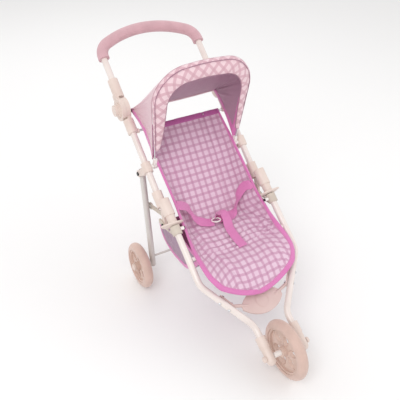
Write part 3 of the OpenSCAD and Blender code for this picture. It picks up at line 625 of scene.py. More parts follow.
def ripple(u: np.ndarray, v: np.ndarray, seed: int, count: int = 7, longest: float = 0.08) -> np.ndarray:
    """Sums a few seeded waves into a soft unevenness.

    Args:
        u: Distances one way, in metres.
        v: Distances the other way, in metres.
        seed: Seed of the waves.
        count: Number of waves.
        longest: Longest wave, in metres.

    Returns:
        Heights from about -1 to 1.
    """
    rng = np.random.default_rng(seed)
    total = np.zeros(np.broadcast(u, v).shape)
    for k in range(count):
        wave = longest / (1 + 0.6 * k)
        heading, phase = rng.uniform(0, math.pi), rng.uniform(0, 2 * math.pi)
        total += np.sin((u * math.cos(heading) + v * math.sin(heading)) * 2 * math.pi / wave + phase) / (1 + 0.6 * k)
    return total / 2.2


def quads(rows: int, cols: int) -> list[tuple[int, int, int, int]]:
    """Returns the faces of a grid of points that is numbered row by row."""
    return [
        (r * cols + c, (r + 1) * cols + c, (r + 1) * cols + c + 1, r * cols + c + 1)
        for r in range(rows - 1)
        for c in range(cols - 1)
    ]


def set_cut(mesh: bpy.types.Mesh, uv: np.ndarray) -> None:
    """Lays cut coordinates, one for each point, on a mesh's UV map.

    Args:
        mesh: The mesh, which has the map already.
        uv: Cut coordinates, a row for each point, in metres.
    """
    corners = np.empty(len(mesh.loops), np.int32)
    mesh.loops.foreach_get("vertex_index", corners)
    mesh.uv_layers[UV_NAME].data.foreach_set("uv", np.asarray(uv, np.float32)[corners].ravel())


def mesh_object(name: str, points: np.ndarray, faces: list, uv: np.ndarray, finishes: list[Finish]) -> bpy.types.Object:
    """Makes a smooth mesh object.

    Args:
        name: The object's name.
        points: Its points, a row each.
        faces: Its faces, as lists of point numbers.
        uv: A cut coordinate for each point, in metres.
        finishes: Its finishes, the main one first.

    Returns:
        The linked object.
    """
    mesh = bpy.data.meshes.new(name)
    mesh.from_pydata(np.asarray(points, float).tolist(), [], faces)
    mesh.uv_layers.new(name=UV_NAME)
    set_cut(mesh, uv)
    mesh.polygons.foreach_set("use_smooth", [True] * len(mesh.polygons))
    for finish in finishes:
        mesh.materials.append(finish.material())
    made = bpy.data.objects.new(name, mesh)
    bpy.context.scene.collection.objects.link(made)
    return made


def sheet_object(
    name: str, grid: np.ndarray, finishes: list[Finish], thick: float, uv: np.ndarray | None = None
) -> bpy.types.Object:
    """Makes a sheet of cloth from a grid of points, with its thickness behind the grid.

    Args:
        name: The piece's name.
        grid: Points, rows by columns by 3.
        finishes: Front finish, and back finish if it differs.
        thick: Thickness, in metres.
        uv: Cut coordinates, rows by columns by 2, or None for distances along the grid.

    Returns:
        The piece, with its thickness applied.
    """
    rows, cols = grid.shape[:2]
    if uv is None:
        across = arc_lengths(grid, 1)
        uv = np.stack([across - across[:, cols // 2][:, None], arc_lengths(grid, 0)], axis=-1)
    made = mesh_object(name, grid.reshape(-1, 3), quads(rows, cols), uv.reshape(-1, 2), finishes)
    wall = made.modifiers.new("wall", "SOLIDIFY")
    wall.thickness = thick
    wall.offset = -1.0
    wall.use_even_offset = False
    wall.material_offset = len(finishes) - 1
    return settle(made)


def settle(piece: bpy.types.Object) -> bpy.types.Object:
    """Turns a piece's modifiers into plain mesh and removes them.

    Args:
        piece: The piece.

    Returns:
        The same piece.
    """
    graph = bpy.context.evaluated_depsgraph_get()
    made = bpy.data.meshes.new_from_object(
        piece.evaluated_get(graph), preserve_all_data_layers=True, depsgraph=graph
    )
    piece.modifiers.clear()
    old, piece.data = piece.data, made
    made.name = piece.name
    bpy.data.meshes.remove(old)
    return piece


def strip_object(name: str, grid: np.ndarray, finishes: list[Finish]) -> bpy.types.Object:
    """Makes a closed strip from rings of points.

    Args:
        name: The piece's name.
        grid: Points, along the strip by round it by 3.
        finishes: The piece's finishes.

    Returns:
        The closed piece, with its faces outward.
    """
    count, around = grid.shape[:2]
    uv = np.stack([arc_lengths(grid, 1), np.repeat(arc_lengths(grid, 0)[:, :1], around, axis=1)], axis=-1)
    faces = [
        [i * around + j, (i + 1) * around + j, (i + 1) * around + (j + 1) % around, i * around + (j + 1) % around]
        for i in range(count - 1)
        for j in range(around)
    ]
    faces += [list(range(around)), list(range((count - 1) * around, count * around))[::-1]]
    return outward(mesh_object(name, grid.reshape(-1, 3), faces, uv.reshape(-1, 2), finishes))


def outward(piece: bpy.types.Object) -> bpy.types.Object:
    """Turns a closed piece's faces outward.

    Args:
        piece: The piece.

    Returns:
        The same piece.
    """
    shell = bmesh.new()
    shell.from_mesh(piece.data)
    bmesh.ops.recalc_face_normals(shell, faces=shell.faces)
    shell.to_mesh(piece.data)
    shell.free()
    return piece


def sweep_object(
    name: str, path: np.ndarray, inward: np.ndarray, normal: np.ndarray, profiles: np.ndarray, finishes: list[Finish]
) -> bpy.types.Object:
    """Sweeps a closed profile along a path.

    Args:
        name: The piece's name.
        path: Points along the path.
        inward: Unit vector of the profile's first axis at each point.
        normal: Unit vector of its second axis at each point.
        profiles: Profile points for each path point, path by profile by 2.
        finishes: The piece's finishes.

    Returns:
        The closed piece, with its faces outward.
    """
    grid = path[:, None] + inward[:, None] * profiles[..., :1] + normal[:, None] * profiles[..., 1:]
    return strip_object(name, grid, finishes)


def round_profile(width: float, thick: float, count: int = 14) -> np.ndarray:
    """Returns a flat profile with round edges, centred, as points of (across, up).

    Args:
        width: Its width.
        thick: Its thickness.
        count: Points round it.

    Returns:
        The points, a row each.
    """
    turn = np.linspace(0, 2 * math.pi, count, endpoint=False)
    x, y = np.cos(turn), np.sin(turn)
    return np.stack([width / 2 * np.sign(x) * np.abs(x) ** 0.35, thick / 2 * np.sign(y) * np.abs(y) ** 0.6], axis=1)


class Surface:
    """The front of a sheet, as a place that tapes and stitches lie on.

    Args:
        grid: The sheet's points, rows by columns by 3.
        normal: Their unit normals off the front.
    """

    def __init__(self, grid: np.ndarray, normal: np.ndarray) -> None:
        rows, cols = grid.shape[:2]
        self.points = grid.reshape(-1, 3)
        self.normals = normal.reshape(-1, 3)
        faces = quads(rows, cols)
        self.faces = np.array(faces)
        self.tree = BVHTree.FromPolygons(self.points.tolist(), faces)

    def lay(self, targets: np.ndarray) -> tuple[np.ndarray, np.ndarray]:
        """Drops points on the sheet.

        Args:
            targets: Points near the sheet, a row each.

        Returns:
            The nearest points on it, and its normals there.
        """
        found = [self.tree.find_nearest(tuple(t)) for t in targets]
        places = np.array([f[0] for f in found])
        normals = unit(np.array([self.normals[self.faces[f[2]]].mean(axis=0) for f in found]))
        return places, normals


def edge_tape(
    name: str, surface: Surface, edge: np.ndarray, inward: np.ndarray, normal: np.ndarray, widths: np.ndarray,
    cloth: float, finish: Finish, proud: float = 0.0011,
) -> bpy.types.Object:
    """Folds a tape round the edge of a sheet, so that it hugs both faces.

    Args:
        name: The piece's name.
        surface: The sheet's front.
        edge: Points along the edge, on the sheet's front.
        inward: Unit vectors into the sheet.
        normal: Unit vectors off the sheet's front.
        widths: The tape's reach at each point.
        cloth: Thickness of the sheet.
        finish: The tape's finish.
        proud: How far the tape stands off the cloth.

    Returns:
        The tape.
    """
    over, under = [], []
    for share, height in ((1.0, 0.2), (0.94, 0.9), (0.7, 1.0), (0.4, 1.05), (0.1, 1.0)):
        place, up = surface.lay(edge + inward * (share * widths)[:, None])
        place, up = smooth_rows(place, 3), unit(smooth_rows(up, 3))
        over.append(place + up * proud * height)
        under.append(place - up * (cloth + proud * height))
    lip = [edge - inward * 0.0006 + normal * proud * 0.6, edge - inward * 0.0013 - normal * cloth / 2,
           edge - inward * 0.0006 - normal * (cloth + 0.6 * proud)]
    return strip_object(name, np.stack(over + lip + under[::-1], axis=1), [finish])


# ---- Stitches, by Geometry Nodes ----


def stitch_tree() -> bpy.types.NodeTree:
    """Builds the tree that lays a row of stitches along an edge mesh.

    Returns:
        The tree, with inputs Path, Pitch, Length, Thickness and Thread.
    """
    tree = bpy.data.node_groups.new("stitch_row", "GeometryNodeTree")
    face = tree.interface
    face.new_socket("Path", in_out="INPUT", socket_type="NodeSocketGeometry")
    for label, value in (("Pitch", 0.003), ("Length", 0.002), ("Thickness", 0.0005)):
        face.new_socket(label, in_out="INPUT", socket_type="NodeSocketFloat").default_value = value
    face.new_socket("Thread", in_out="INPUT", socket_type="NodeSocketMaterial")
    face.new_socket("Stitches", in_out="OUTPUT", socket_type="NodeSocketGeometry")
    t = Tree(tree)
    start, end = t.add("NodeGroupInput"), t.add("NodeGroupOutput")
    curve = t.add("GeometryNodeMeshToCurve", {"Mesh": start.outputs["Path"]})
    spaced = {"Curve": curve.outputs[0], "Length": start.outputs["Pitch"]}
    even = t.add("GeometryNodeResampleCurve", spaced, mode="LENGTH")
    half = t.math("MULTIPLY", start.outputs["Length"], 0.5)
    back = t.add("ShaderNodeCombineXYZ", {2: t.math("MULTIPLY", half, -1.0)})
    ahead = t.add("ShaderNodeCombineXYZ", {2: half})
    line = t.add("GeometryNodeCurvePrimitiveLine", {"Start": back.outputs[0], "End": ahead.outputs[0]})
    radius = t.math("MULTIPLY", start.outputs["Thickness"], 0.5)
    ring = t.add("GeometryNodeCurvePrimitiveCircle", {"Resolution": 5, "Radius": radius})
    swept = {"Curve": line.outputs[0], "Profile Curve": ring.outputs[0], "Fill Caps": True}
    stitch = t.add("GeometryNodeCurveToMesh", swept)
    tangent = t.add("GeometryNodeInputTangent")
    turn = t.add("FunctionNodeAlignRotationToVector", {"Vector": tangent.outputs[0]}, axis="Z")
    placed = t.add(
        "GeometryNodeInstanceOnPoints",
        {"Points": even.outputs[0], "Instance": stitch.outputs[0], "Rotation": turn.outputs[0]},
    )
    real = t.add("GeometryNodeRealizeInstances", {0: placed.outputs[0]})
    dressed = t.add("GeometryNodeSetMaterial", {"Geometry": real.outputs[0], "Material": start.outputs["Thread"]})
    tree.links.new(dressed.outputs[0], end.inputs[0])
    return tree


@dataclass
class Stitcher:
    """Lays rows of stitches along paths.

    Args:
        pitch: Distance from one stitch to the next.
        length: Length of a stitch.
        thick: Thickness of the thread.
        tree: The stitch tree.
    """

    pitch: float = 0.0034
    length: float = 0.0023
    thick: float = 0.0006
    tree: bpy.types.NodeTree = field(default_factory=stitch_tree)

    def rows(self, name: str, paths: list[np.ndarray], finish: Finish) -> bpy.types.Object:
        """Makes one piece of several stitched rows.

        Args:
            name: The piece's name.
            paths: Points along each row.
            finish: The thread's finish.

        Returns:
            The piece, as plain mesh.
        """
        points = np.vstack(paths)
        edges, base = [], 0
        for path in paths:
            edges += [(base + i, base + i + 1) for i in range(len(path) - 1)]
            base += len(path)
        mesh = bpy.data.meshes.new(name)
        mesh.from_pydata(points.tolist(), edges, [])
        made = bpy.data.objects.new(name, mesh)
        bpy.context.scene.collection.objects.link(made)
        row = made.modifiers.new("row", "NODES")
        row.node_group = self.tree
        values = {"Pitch": self.pitch, "Length": self.length, "Thickness": self.thick, "Thread": finish.material()}
        for item in self.tree.interface.items_tree:
            if item.name in values and item.in_out == "INPUT":
                row[item.identifier] = values[item.name]
        settle(made)
        if UV_NAME not in made.data.uv_layers:
            made.data.uv_layers.new(name=UV_NAME)
        made.data.polygons.foreach_set("use_smooth", [True] * len(made.data.polygons))
        return made


# ---- The stroller ----


@dataclass(frozen=True)
class Joints:
    """Places of the stroller's hinges in its side view, as (y, z) in metres."""

    fold: np.ndarray
    collar: np.ndarray
    hinge: np.ndarray

    @classmethod
    def read(cls, frame: dict) -> Joints:
        """Reads the hinges from the frame."""
        found = {j["name"]: np.array(j["pos_m"][1:]) for j in frame["record"]["behaviour"]["joints"] if "pos_m" in j}
        return cls(found["fold"], found["canopy_fold"], found["handle_tilt"])


@dataclass
class Fold:
    """Stands for the fold between the front frame and the upper frame; it only bakes each piece's transform.

    Args:
        joints: The stroller's hinges; not used.
    """

    joints: Joints

    def bend(self, piece: bpy.types.Object) -> None:
        """Bakes a piece's transform into its mesh; it does not bend it.

        Args:
            piece: A piece of cloth that crosses the fold pins.
        """
        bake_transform(piece)


@dataclass
class SeatCover:
    """The quilted seat: back panel, sides, base and the flap that hangs over the footrest.

    Args:
        fold: Bakes each piece's transform where the cloth crosses the fold.
        joints: The stroller's hinges.
        stitcher: Lays its stitches.
        edge: Half width at the edges.
        hollow: Half width of the hollow at the junction.
        thick: Thickness of the quilted cloth.
        rows: Points along the cloth.
        cols: Points across it.
        hem_width: Reach of the top hem.
        hem_proud: How far the top hem stands off the cloth.
    """

    fold: Fold
    joints: Joints
    stitcher: Stitcher
    edge: float = 0.108
    hollow: float = 0.075
    thick: float = 0.0036
    rows: int = 220
    cols: int = 113
    hem_width: float = 0.0135
    hem_proud: float = 0.0016
    grid: np.ndarray = field(init=False)
    normals: np.ndarray = field(init=False)
    surface: Surface = field(init=False)

    # Half cross-sections ahead of the back's foot, centre to edge, from the fold pins: x, y, z.
    AHEAD = (
        ((0, -0.018, -0.026), (0.05, -0.018, -0.026), (0.077, -0.016, -0.026),
         (0.095, -0.014, 0.012), (0.108, -0.012, 0.052)),
        ((0, -0.046, -0.030), (0.05, -0.046, -0.030), (0.079, -0.044, -0.030),
         (0.097, -0.038, -0.006), (0.109, -0.034, 0.034)),
        ((0, -0.080, -0.035), (0.05, -0.080, -0.035), (0.086, -0.078, -0.034),
         (0.101, -0.070, -0.016), (0.111, -0.062, 0.018)),
        ((0, -0.116, -0.038), (0.05, -0.116, -0.038), (0.095, -0.114, -0.034),
         (0.108, -0.108, -0.018), (0.116, -0.098, -0.003)),
        ((0, -0.148, -0.038), (0.055, -0.147, -0.037), (0.098, -0.144, -0.030),
         (0.112, -0.138, -0.022), (0.1205, -0.130, -0.016)),
        ((0, -0.184, -0.048), (0.055, -0.182, -0.045), (0.096, -0.178, -0.036),
         (0.112, -0.172, -0.031), (0.1215, -0.164, -0.029)),
        ((0, -0.211, -0.070), (0.05, -0.208, -0.064), (0.088, -0.203, -0.052),
         (0.105, -0.197, -0.044), (0.1175, -0.187, -0.040)),
        ((0, -0.230, -0.096), (0.042, -0.227, -0.086), (0.072, -0.221, -0.073),
         (0.092, -0.215, -0.062), (0.104, -0.209, -0.054)),
    )
    # Creases down the back: place across, half width, depth, seed.
    BACK_CREASES = (
        (-0.068, 0.0035, 0.0021, 5), (-0.026, 0.005, 0.0013, 6),
        (0.016, 0.008, 0.0010, 7), (0.062, 0.0045, 0.0032, 8),
    )
    # Creases that fan out from the top corner: slope, depth.
    FAN_CREASES = ((0.30, 0.0016), (0.46, 0.0013), (0.66, 0.0012))
    # Creases up the right side: distance along, slope, start across, half width, depth.
    SIDE_CREASES = ((0.262, 2.25, 0.070, 0.0022 * 2.2, 0.0040), (0.338, 0.42, 0.030, 0.0028, 0.0030))
    # Creases across the base: distance behind the seam, half width, depth, seed.
    BASE_CREASES = (
        (0.016, 0.0035, 0.0022, 11), (0.033, 0.006, 0.0026, 12),
        (0.052, 0.005, 0.0016, 13), (0.070, 0.007, 0.0022, 14),
    )
    # Creases down the flap: place across, slope, half width, depth.
    FLAP_CREASES = (
        (-0.082, 0.42, 0.0045, -0.0034), (-0.070, 0.48, 0.006, 0.0024),
        (-0.015, 0.35, 0.006, 0.0016), (0.085, -0.75, 0.005, 0.0018),
    )

    def sections(self) -> list[list[tuple[float, float, float]]]:
        """Returns half cross-sections from the top hem to the flap's front, each from centre to edge.

        Returns:
            A list of points (x, y, z) for each cross-section.
        """
        y, z = self.joints.fold
        e, h = self.edge, self.hollow
        back = []
        for share in (0.0, 0.17, 0.34, 0.52):
            drop = share * 1.9
            top = np.array([0.166, 0.184])
            low = np.array([0.0, -0.020])
            edge_low = np.array([-0.001, 0.062])
            c = top + (low - top) * min(drop, 1.0)
            r = top + (edge_low - top) * min(drop * 0.97, 1.0)
            m = 0.45 * r + 0.55 * c
            reach = e - (e - h) * min(drop, 1.0) * 0.97 - 0.008 * (1 - share)
            back.append([
                (0, y + c[0], z + c[1]), (0.6 * reach, y + c[0], z + c[1]), (reach, y + c[0], z + c[1]),
                (0.5 * (reach + e), y + m[0], z + m[1]), (e, y + r[0], z + r[1]),
            ])
        return back + [[(x, y + dy, z + dz) for x, dy, dz in half] for half in self.AHEAD]

    def build_grid(self) -> None:
        """Lofts the sections, then adds creases, wrinkles and the seam's fold."""
        full = []
        for half in self.sections():
            line = np.array(half)
            mirrored = np.vstack([line[:0:-1] * [-1, 1, 1], line])
            full.append(smooth_through(mirrored, self.cols))
        stations = np.stack(full)
        grid = np.stack([smooth_through(stations[:, c], self.rows) for c in range(self.cols)], axis=1)
        u = arc_lengths(grid, 1)
        u = u - u[:, self.cols // 2][:, None]
        v = arc_lengths(grid, 0)
        middle = v[:, self.cols // 2]
        y = grid[..., 1] - self.joints.fold[0]
        seam_row = int(np.argmin(np.abs(y[:, self.cols // 2] + 0.118)))
        seam = middle[seam_row]
        run = v * (middle[-1] / v[-1])
        on_back = 1 / (1 + np.exp(-(y - 0.012) / 0.006))
        on_base = (1 - on_back) * (1 / (1 + np.exp((run - seam) / 0.004)))
        on_flap = 1 / (1 + np.exp(-(run - seam) / 0.006))
        lift = 0.0007 * ripple(u, v, 3, 9, 0.11) + 0.0004 * ripple(u, v, 4, 7, 0.035)
        for at, width, deep, seed in self.BACK_CREASES:
            wander = at + 0.004 * ripple(v, v * 0, seed, 4, 0.20)
            lift -= on_back * deep * hump(u, wander, width)
            lift += on_back * 0.4 * deep * hump(u, wander + 1.9 * width, 1.5 * width)
        fan = np.clip((v - 0.02) / 0.05, 0, 1) * np.clip((0.20 - v) / 0.12, 0, 1)
        for slope, deep in self.FAN_CREASES:
            lift -= on_back * fan * deep * hump(u, -0.098 + slope * (v - 0.03), 0.003)
        for far, slope, start, width, deep in self.SIDE_CREASES:
            line = far + slope * np.clip(u - (start + 0.002), 0, 1)
            there = np.clip((u - start) / 0.012, 0, 1) * (1 - on_flap)
            lift -= there * deep * hump(run, line, width)
        for back_off, width, deep, seed in self.BASE_CREASES:
            bow = seam - back_off + 0.004 * ripple(u, u * 0, seed, 4, 0.16) + 0.03 * u * (seed % 2)
            lift += on_base * deep * (hump(run, bow, width) - 0.8 * hump(run, bow - 1.6 * width, 1.2 * width))
        lift += 0.0024 * hump(run, seam, 0.0028) - 0.0036 * hump(run, seam - 0.0055, 0.0026)
        for lead, turn, width, deep in self.FLAP_CREASES:
            lift += on_flap * deep * hump(u - turn * (run - seam), lead, width) * np.clip((run - seam) / 0.03, 0, 1)
        rim = np.minimum(np.abs(np.abs(u) - np.abs(u[:, -1:])), v[-1] - v)
        lift *= np.clip(rim / 0.012, 0.0, 1.0)
        self.grid = grid + grid_normals(grid) * lift[..., None]
        self.normals = grid_normals(self.grid)
        self.surface = Surface(self.grid, self.normals)

    def build(self) -> list[bpy.types.Object]:
        """Builds the cover, its bindings, hem and stitches.

        Returns:
            The pieces.
        """
        self.build_grid()
        uv = self.cut_map()
        cover = sheet_object("seat_cover", self.grid, [Palette.SEAT, Palette.BACKING], self.thick, uv)
        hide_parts("seat_base", "backrest", "leg_flap")
        tapes = self.bindings()
        hem = self.top_hem()
        for piece in (cover, hem, *tapes):
            self.fold.bend(piece)
        return [cover, hem, *tapes]

    def cut_map(self) -> np.ndarray:
        """Returns cut coordinates that keep the check's squares one size.

        Returns:
            Coordinates across and along, rows by columns by 2.
        """
        across = arc_lengths(self.grid, 1)
        across = across - across[:, self.cols // 2][:, None]
        return np.stack([across, arc_lengths(self.grid, 0) + 0.004], axis=-1)

    def bindings(self) -> list[bpy.types.Object]:
        """Builds the tape round the sides and the flap's front, and its stitches.

        Returns:
            The tape and the stitches.
        """
        g, n = self.grid, self.normals
        step = 2
        left, right = g[::step, 0], g[::step, -1]
        front = g[-1, 2:-2:step]
        edge = np.vstack([left[:-1], g[-1:, 0], front, g[-1:, -1], right[:-1][::-1]])
        normal = np.vstack([n[::step, 0][:-1], n[-1:, 0], n[-1, 2:-2:step], n[-1:, -1], n[::step, -1][:-1][::-1]])
        edge = smooth_rows(edge, 2)
        normal = unit(smooth_rows(normal, 4))
        tangent = unit(smooth_rows(unit(np.gradient(edge, axis=0)), 6))
        inward = unit(np.cross(normal, tangent))
        if (g[len(g) // 2, self.cols // 2] - edge[len(left) // 2]) @ inward[len(left) // 2] < 0:
            inward = -inward
        y = edge[:, 1] - self.joints.fold[0]
        widths = 0.0050 + 0.0065 * np.clip((-0.060 - y) / 0.05, 0, 1)
        tape = edge_tape("seat_binding", self.surface, edge, inward, normal, widths, self.thick, Palette.TAPE)
        place, up = self.surface.lay(edge + inward * (widths - 0.0012)[:, None])
        stitches = self.stitcher.rows("seat_binding_stitches", [place + up * 0.0012], Palette.THREAD)
        return [tape, stitches]

    def top_hem(self) -> bpy.types.Object:
        """Builds the hem round the cross rod at the top of the back.

        Returns:
            The hem.
        """
        g, n = self.grid, self.normals
        widths = np.full(self.cols, self.hem_width)
        down = unit(g[6] - g[0])
        hem = edge_tape(
            "seat_top_hem", self.surface, g[0], down, n[0], widths, self.thick, Palette.HEM, self.hem_proud
        )
        return hem


def smooth_rows(values: np.ndarray, times: int) -> np.ndarray:
    """Averages each row with its neighbours a few times, and keeps the ends.

    Args:
        values: Rows of numbers.
        times: How many times.

    Returns:
        The smoothed rows.
    """
    out = values.copy()
    for _ in range(times):
        out[1:-1] = 0.25 * out[:-2] + 0.5 * out[1:-1] + 0.25 * out[2:]
    return out


@dataclass
class Strap:
    """A length of webbing through given points.

    Args:
        name: The piece's name.
        points: Points along its middle, in metres from the fold pins.
        across: Direction of its width at each point.
        node: The frame node that it stands for.
        width: Width of the webbing.
        thick: Its thickness.
    """

    name: str
    points: list[tuple[float, float, float]]
    across: list[tuple[float, float, float]]
    node: str
    width: float = 0.0245
    thick: float = 0.0016

    def build(self, joints: Joints, narrow: float | None = None) -> bpy.types.Object:
        """Builds the strap.

        Args:
            joints: The stroller's hinges.
            narrow: Share along the strap at which it twists narrow, or None.

        Returns:
            The strap.
        """
        count = 70
        path = smooth_through(np.array(self.points) + [0, *joints.fold], count)
        side = unit(smooth_through(np.array(self.across), count, even=False))
        tangent = unit(np.gradient(path, axis=0))
        side = unit(side - tangent * (side * tangent).sum(-1, keepdims=True))
        up = np.cross(side, tangent)
        share = np.linspace(0, 1, count)
        width = np.ones(count)
        bulge = np.zeros(count)
        if narrow is not None:
            width -= 0.45 * hump(share, narrow, 0.08)
            bulge += 0.004 * hump(share, narrow, 0.08)
        profile = round_profile(self.width, self.thick)
        profiles = profile[None] * np.stack([width, np.ones(count)], axis=1)[:, None]
        cup = (profiles[..., 0] / (self.width / 2)) ** 2
        profiles[..., 1] += cup * (bulge[:, None] + 0.0008 * np.sin(share * 14.0)[:, None])
        strap = sweep_object(self.name, path, side, up, profiles, [Palette.WEBBING])
        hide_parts(self.node)
        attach(strap, "front_frame")
        return strap


@dataclass
class Harness:
    """Lap straps, crotch strap and ring.

    Args:
        joints: The stroller's hinges.
    """

    joints: Joints

    def build(self) -> list[bpy.types.Object]:
        """Builds the straps.

        Returns:
            The left, right and crotch straps.
        """
        y_way, x_way = (0.0, 0.85, 0.50), (1.0, 0.0, 0.0)
        left = Strap(
            "lap_webbing_left",
            [(-0.1050, -0.004, 0.052), (-0.0960, -0.003, 0.047), (-0.0810, 0.003, 0.036), (-0.0680, 0.006, 0.020),
             (-0.0590, 0.003, 0.004), (-0.0520, -0.004, -0.010), (-0.0420, -0.010, -0.0180), (-0.0260, -0.018, -0.0215),
             (-0.0120, -0.022, -0.0205)],
            [(0.0, 0.80, 0.60), (0.0, 0.80, 0.60), (0.1, 0.75, 0.65), (0.2, 0.70, 0.68), (0.3, 0.75, 0.60),
             (0.2, 0.85, 0.50), y_way, (0.0, 1.0, 0.3), (0.0, 1.0, 0.2)], "lap_strap_left",
        )
        right = Strap(
            "lap_webbing_right",
            [(0.1055, -0.010, 0.050), (0.1010, -0.008, 0.046), (0.0920, 0.004, 0.036), (0.0800, 0.008, 0.014),
             (0.0700, 0.000, -0.008), (0.0570, -0.010, -0.0180), (0.0360, -0.020, -0.0215), (0.0120, -0.020, -0.0205),
             (0.0000, -0.021, -0.0200)],
            [(0.0, 0.70, 0.72), (0.0, 0.70, 0.72), (0.1, 0.75, 0.65), (0.3, 0.75, 0.60), (0.5, 0.80, 0.30),
             (0.5, 0.85, 0.10), y_way, (0.0, 1.0, 0.2), (0.0, 1.0, 0.1)],
            "lap_strap_right",
        )
        crotch = Strap(
            "crotch_webbing",
            [(-0.0080, -0.020, -0.0150), (0.0020, -0.013, -0.0080), (0.0160, -0.018, -0.0040),
             (0.0180, -0.034, -0.0120), (0.0135, -0.055, -0.0240), (0.0110, -0.085, -0.0310),
             (0.0115, -0.106, -0.0340), (0.0125, -0.124, -0.0355)],
            [(0.6, 0.75, 0.0), (0.8, 0.5, 0.0), (0.95, 0.2, 0.0), x_way, x_way, (1.0, 0.05, 0.0), (1.0, 0.1, 0.0),
             (1.0, 0.1, 0.0)], "crotch_strap",
        )
        return [left.build(self.joints, narrow=0.50), right.build(self.joints, narrow=0.55), crotch.build(self.joints)]


@dataclass
class Canopy:
    """The folding canopy: padded band round the mouth, hood and bindings.

    Args:
        joints: The stroller's hinges.
        stitcher: Lays its stitches.
        lean: Lean of the bow from the horizontal, in degrees.
        foot_x: Half width of the bow at its feet.
        top_x: Half width of the bow where its corners start.
        height: Height of the bow above its pegs.
        corner: Radius of the bow's corners.
        band: Width of the padded band.
        hinge_x: Half width of the hood where it meets the hinges.
        flare: How far the band's face turns outward, in degrees.
        thick: Thickness of the hood's cloth.
    """

    joints: Joints
    stitcher: Stitcher
    lean: float = 101.0
    foot_x: float = 0.1165
    top_x: float = 0.1245
    height: float = 0.264
    corner: float = 0.080
    band: float = 0.033
    hinge_x: float = 0.1215
    flare: float = 24.0
    thick: float = 0.0014

    # Creases from the hinges: place along the arch, half width, depth.
    HOOD_CREASES = (
        (0.44, 0.016, 0.0030), (0.53, 0.020, 0.0026), (0.66, 0.018, 0.0034), (0.80, 0.025, 0.0030),
    )

    def plane(self, x: np.ndarray, s: np.ndarray, off: object = 0.0) -> np.ndarray:
        """Returns points in the bow's plane, off it by a distance to the front.

        Args:
            x: Places across.
            s: Distances up the bow from its pegs.
            off: Distances off the plane, to the front.

        Returns:
            The points.
        """
        y, z = self.joints.collar
        a = math.radians(self.lean)
        off = np.broadcast_to(off, np.shape(x))
        return np.stack([x, y + s * math.cos(a) - off * math.sin(a), z + s * math.sin(a) + off * math.cos(a)], axis=-1)

    def arch(self, count: int, foot: float = 0.022) -> tuple[np.ndarray, np.ndarray]:
        """Returns the arch's outline in the bow's plane, from the left foot to the right, as x and s.

        Args:
            count: Number of points.
            foot: Distance from the pegs to the first and the last point.

        Returns:
            The places across and the distances up the bow.
        """
        turn = np.linspace(0, math.pi / 2, 24)
        centre_x, centre_s = self.top_x - self.corner, self.height - self.corner
        corner = np.stack(
            [centre_x + self.corner * np.cos(turn), centre_s + self.corner * np.sin(turn), 0 * turn], axis=1
        )
        crown = np.array([[0.5 * centre_x, self.height + 0.0018, 0.0], [0.0, self.height + 0.0024, 0.0]])
        leg = [[self.foot_x, foot, 0], [(self.foot_x + self.top_x) / 2, (foot + centre_s) / 2, 0]]
        half = np.vstack([leg, corner, crown])
        whole = np.vstack([half * [-1, 1, 1], half[::-1][1:]])
        line = smooth_rows(smooth_through(whole, count * 3), 6)
        line = smooth_through(line[::3], count)
        return line[:, 0], line[:, 1]

    def rim(self) -> list[bpy.types.Object]:
        """Builds the padded band and the piping near its outer edge.

        Returns:
            The band, the outer piping and the inner seam.
        """
        count = 190
        x, s = self.arch(count, 0.052)
        path = self.plane(x, s)
        tangent = unit(np.gradient(path, axis=0))
        front = unit(self.plane(np.array([0.0]), np.array([0.0]), 1.0) - self.plane(np.array([0.0]), np.array([0.0])))
        front = np.repeat(front, count, axis=0)
        inward = unit(np.cross(front, tangent))
        middle = np.array([[0.0, *(self.plane(np.array(0.0), np.array(0.12))[1:])]])
        inward *= np.sign(((middle - path) * inward).sum(-1, keepdims=True).mean())
        tilt = math.radians(self.flare)
        inward, front = (
            inward * math.cos(tilt) + front * math.sin(tilt),
            front * math.cos(tilt) - inward * math.sin(tilt),
        )
        reach = np.concatenate([[-0.0055], np.linspace(-0.002, self.band - 0.001, 13), [self.band]])
        puff = np.array([
            0.0, 0.0042, 0.0050, 0.0040, 0.0052, 0.0060, 0.0064, 0.0065,
            0.0064, 0.0060, 0.0054, 0.0046, 0.0036, 0.0022, 0.0,
        ])
        profile = np.vstack([np.stack([reach, puff], 1), np.stack([reach[::-1][1:-1], -0.8 * puff[::-1][1:-1]], 1)])
        profiles = np.repeat(profile[None], count, axis=0)
        along = np.linspace(0, 1, count)[:, None]
        profiles[..., 1] *= 1 + 0.10 * np.sin(along * 63.0 + profiles[..., 0] * 90) + 0.08 * np.sin(along * 141.0)
        narrow = self.taper(along)
        profiles[..., 0] *= narrow
        band = sweep_object("canopy_rim_band", path, inward, front, profiles, [Palette.BAND])
        self.band_map(band, count, profile.shape[0])
        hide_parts("canopy_rim")
        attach(band, "canopy_frame")
        pieces = [band]
        whole = np.ones((count, 1))
        for name, off, up, radius, scale in (
            ("canopy_outer_piping", 0.0015, 0.0047, 0.0010, whole),
            ("canopy_inner_seam", self.band, 0.0, 0.0011, narrow),
        ):
            at = path + inward * off * scale + front * up
            cord = round_profile(2 * radius, 2 * radius, 8)
            piping = sweep_object(name, at, inward, front, np.repeat(cord[None], count, axis=0), [Palette.PIPING])
            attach(piping, "canopy_frame")
            pieces.append(piping)
        return pieces

    @staticmethod
    def taper(along: np.ndarray) -> np.ndarray:
        """Returns the band's share of its full width along its length.

        Args:
            along: Places along the band, from 0 to 1.

        Returns:
            The shares.
        """
        near = np.minimum(along, 1 - along)
        return np.interp(near, [0.0, 0.02, 0.10, 0.24, 0.36], [0.30, 0.42, 0.66, 0.92, 1.0])

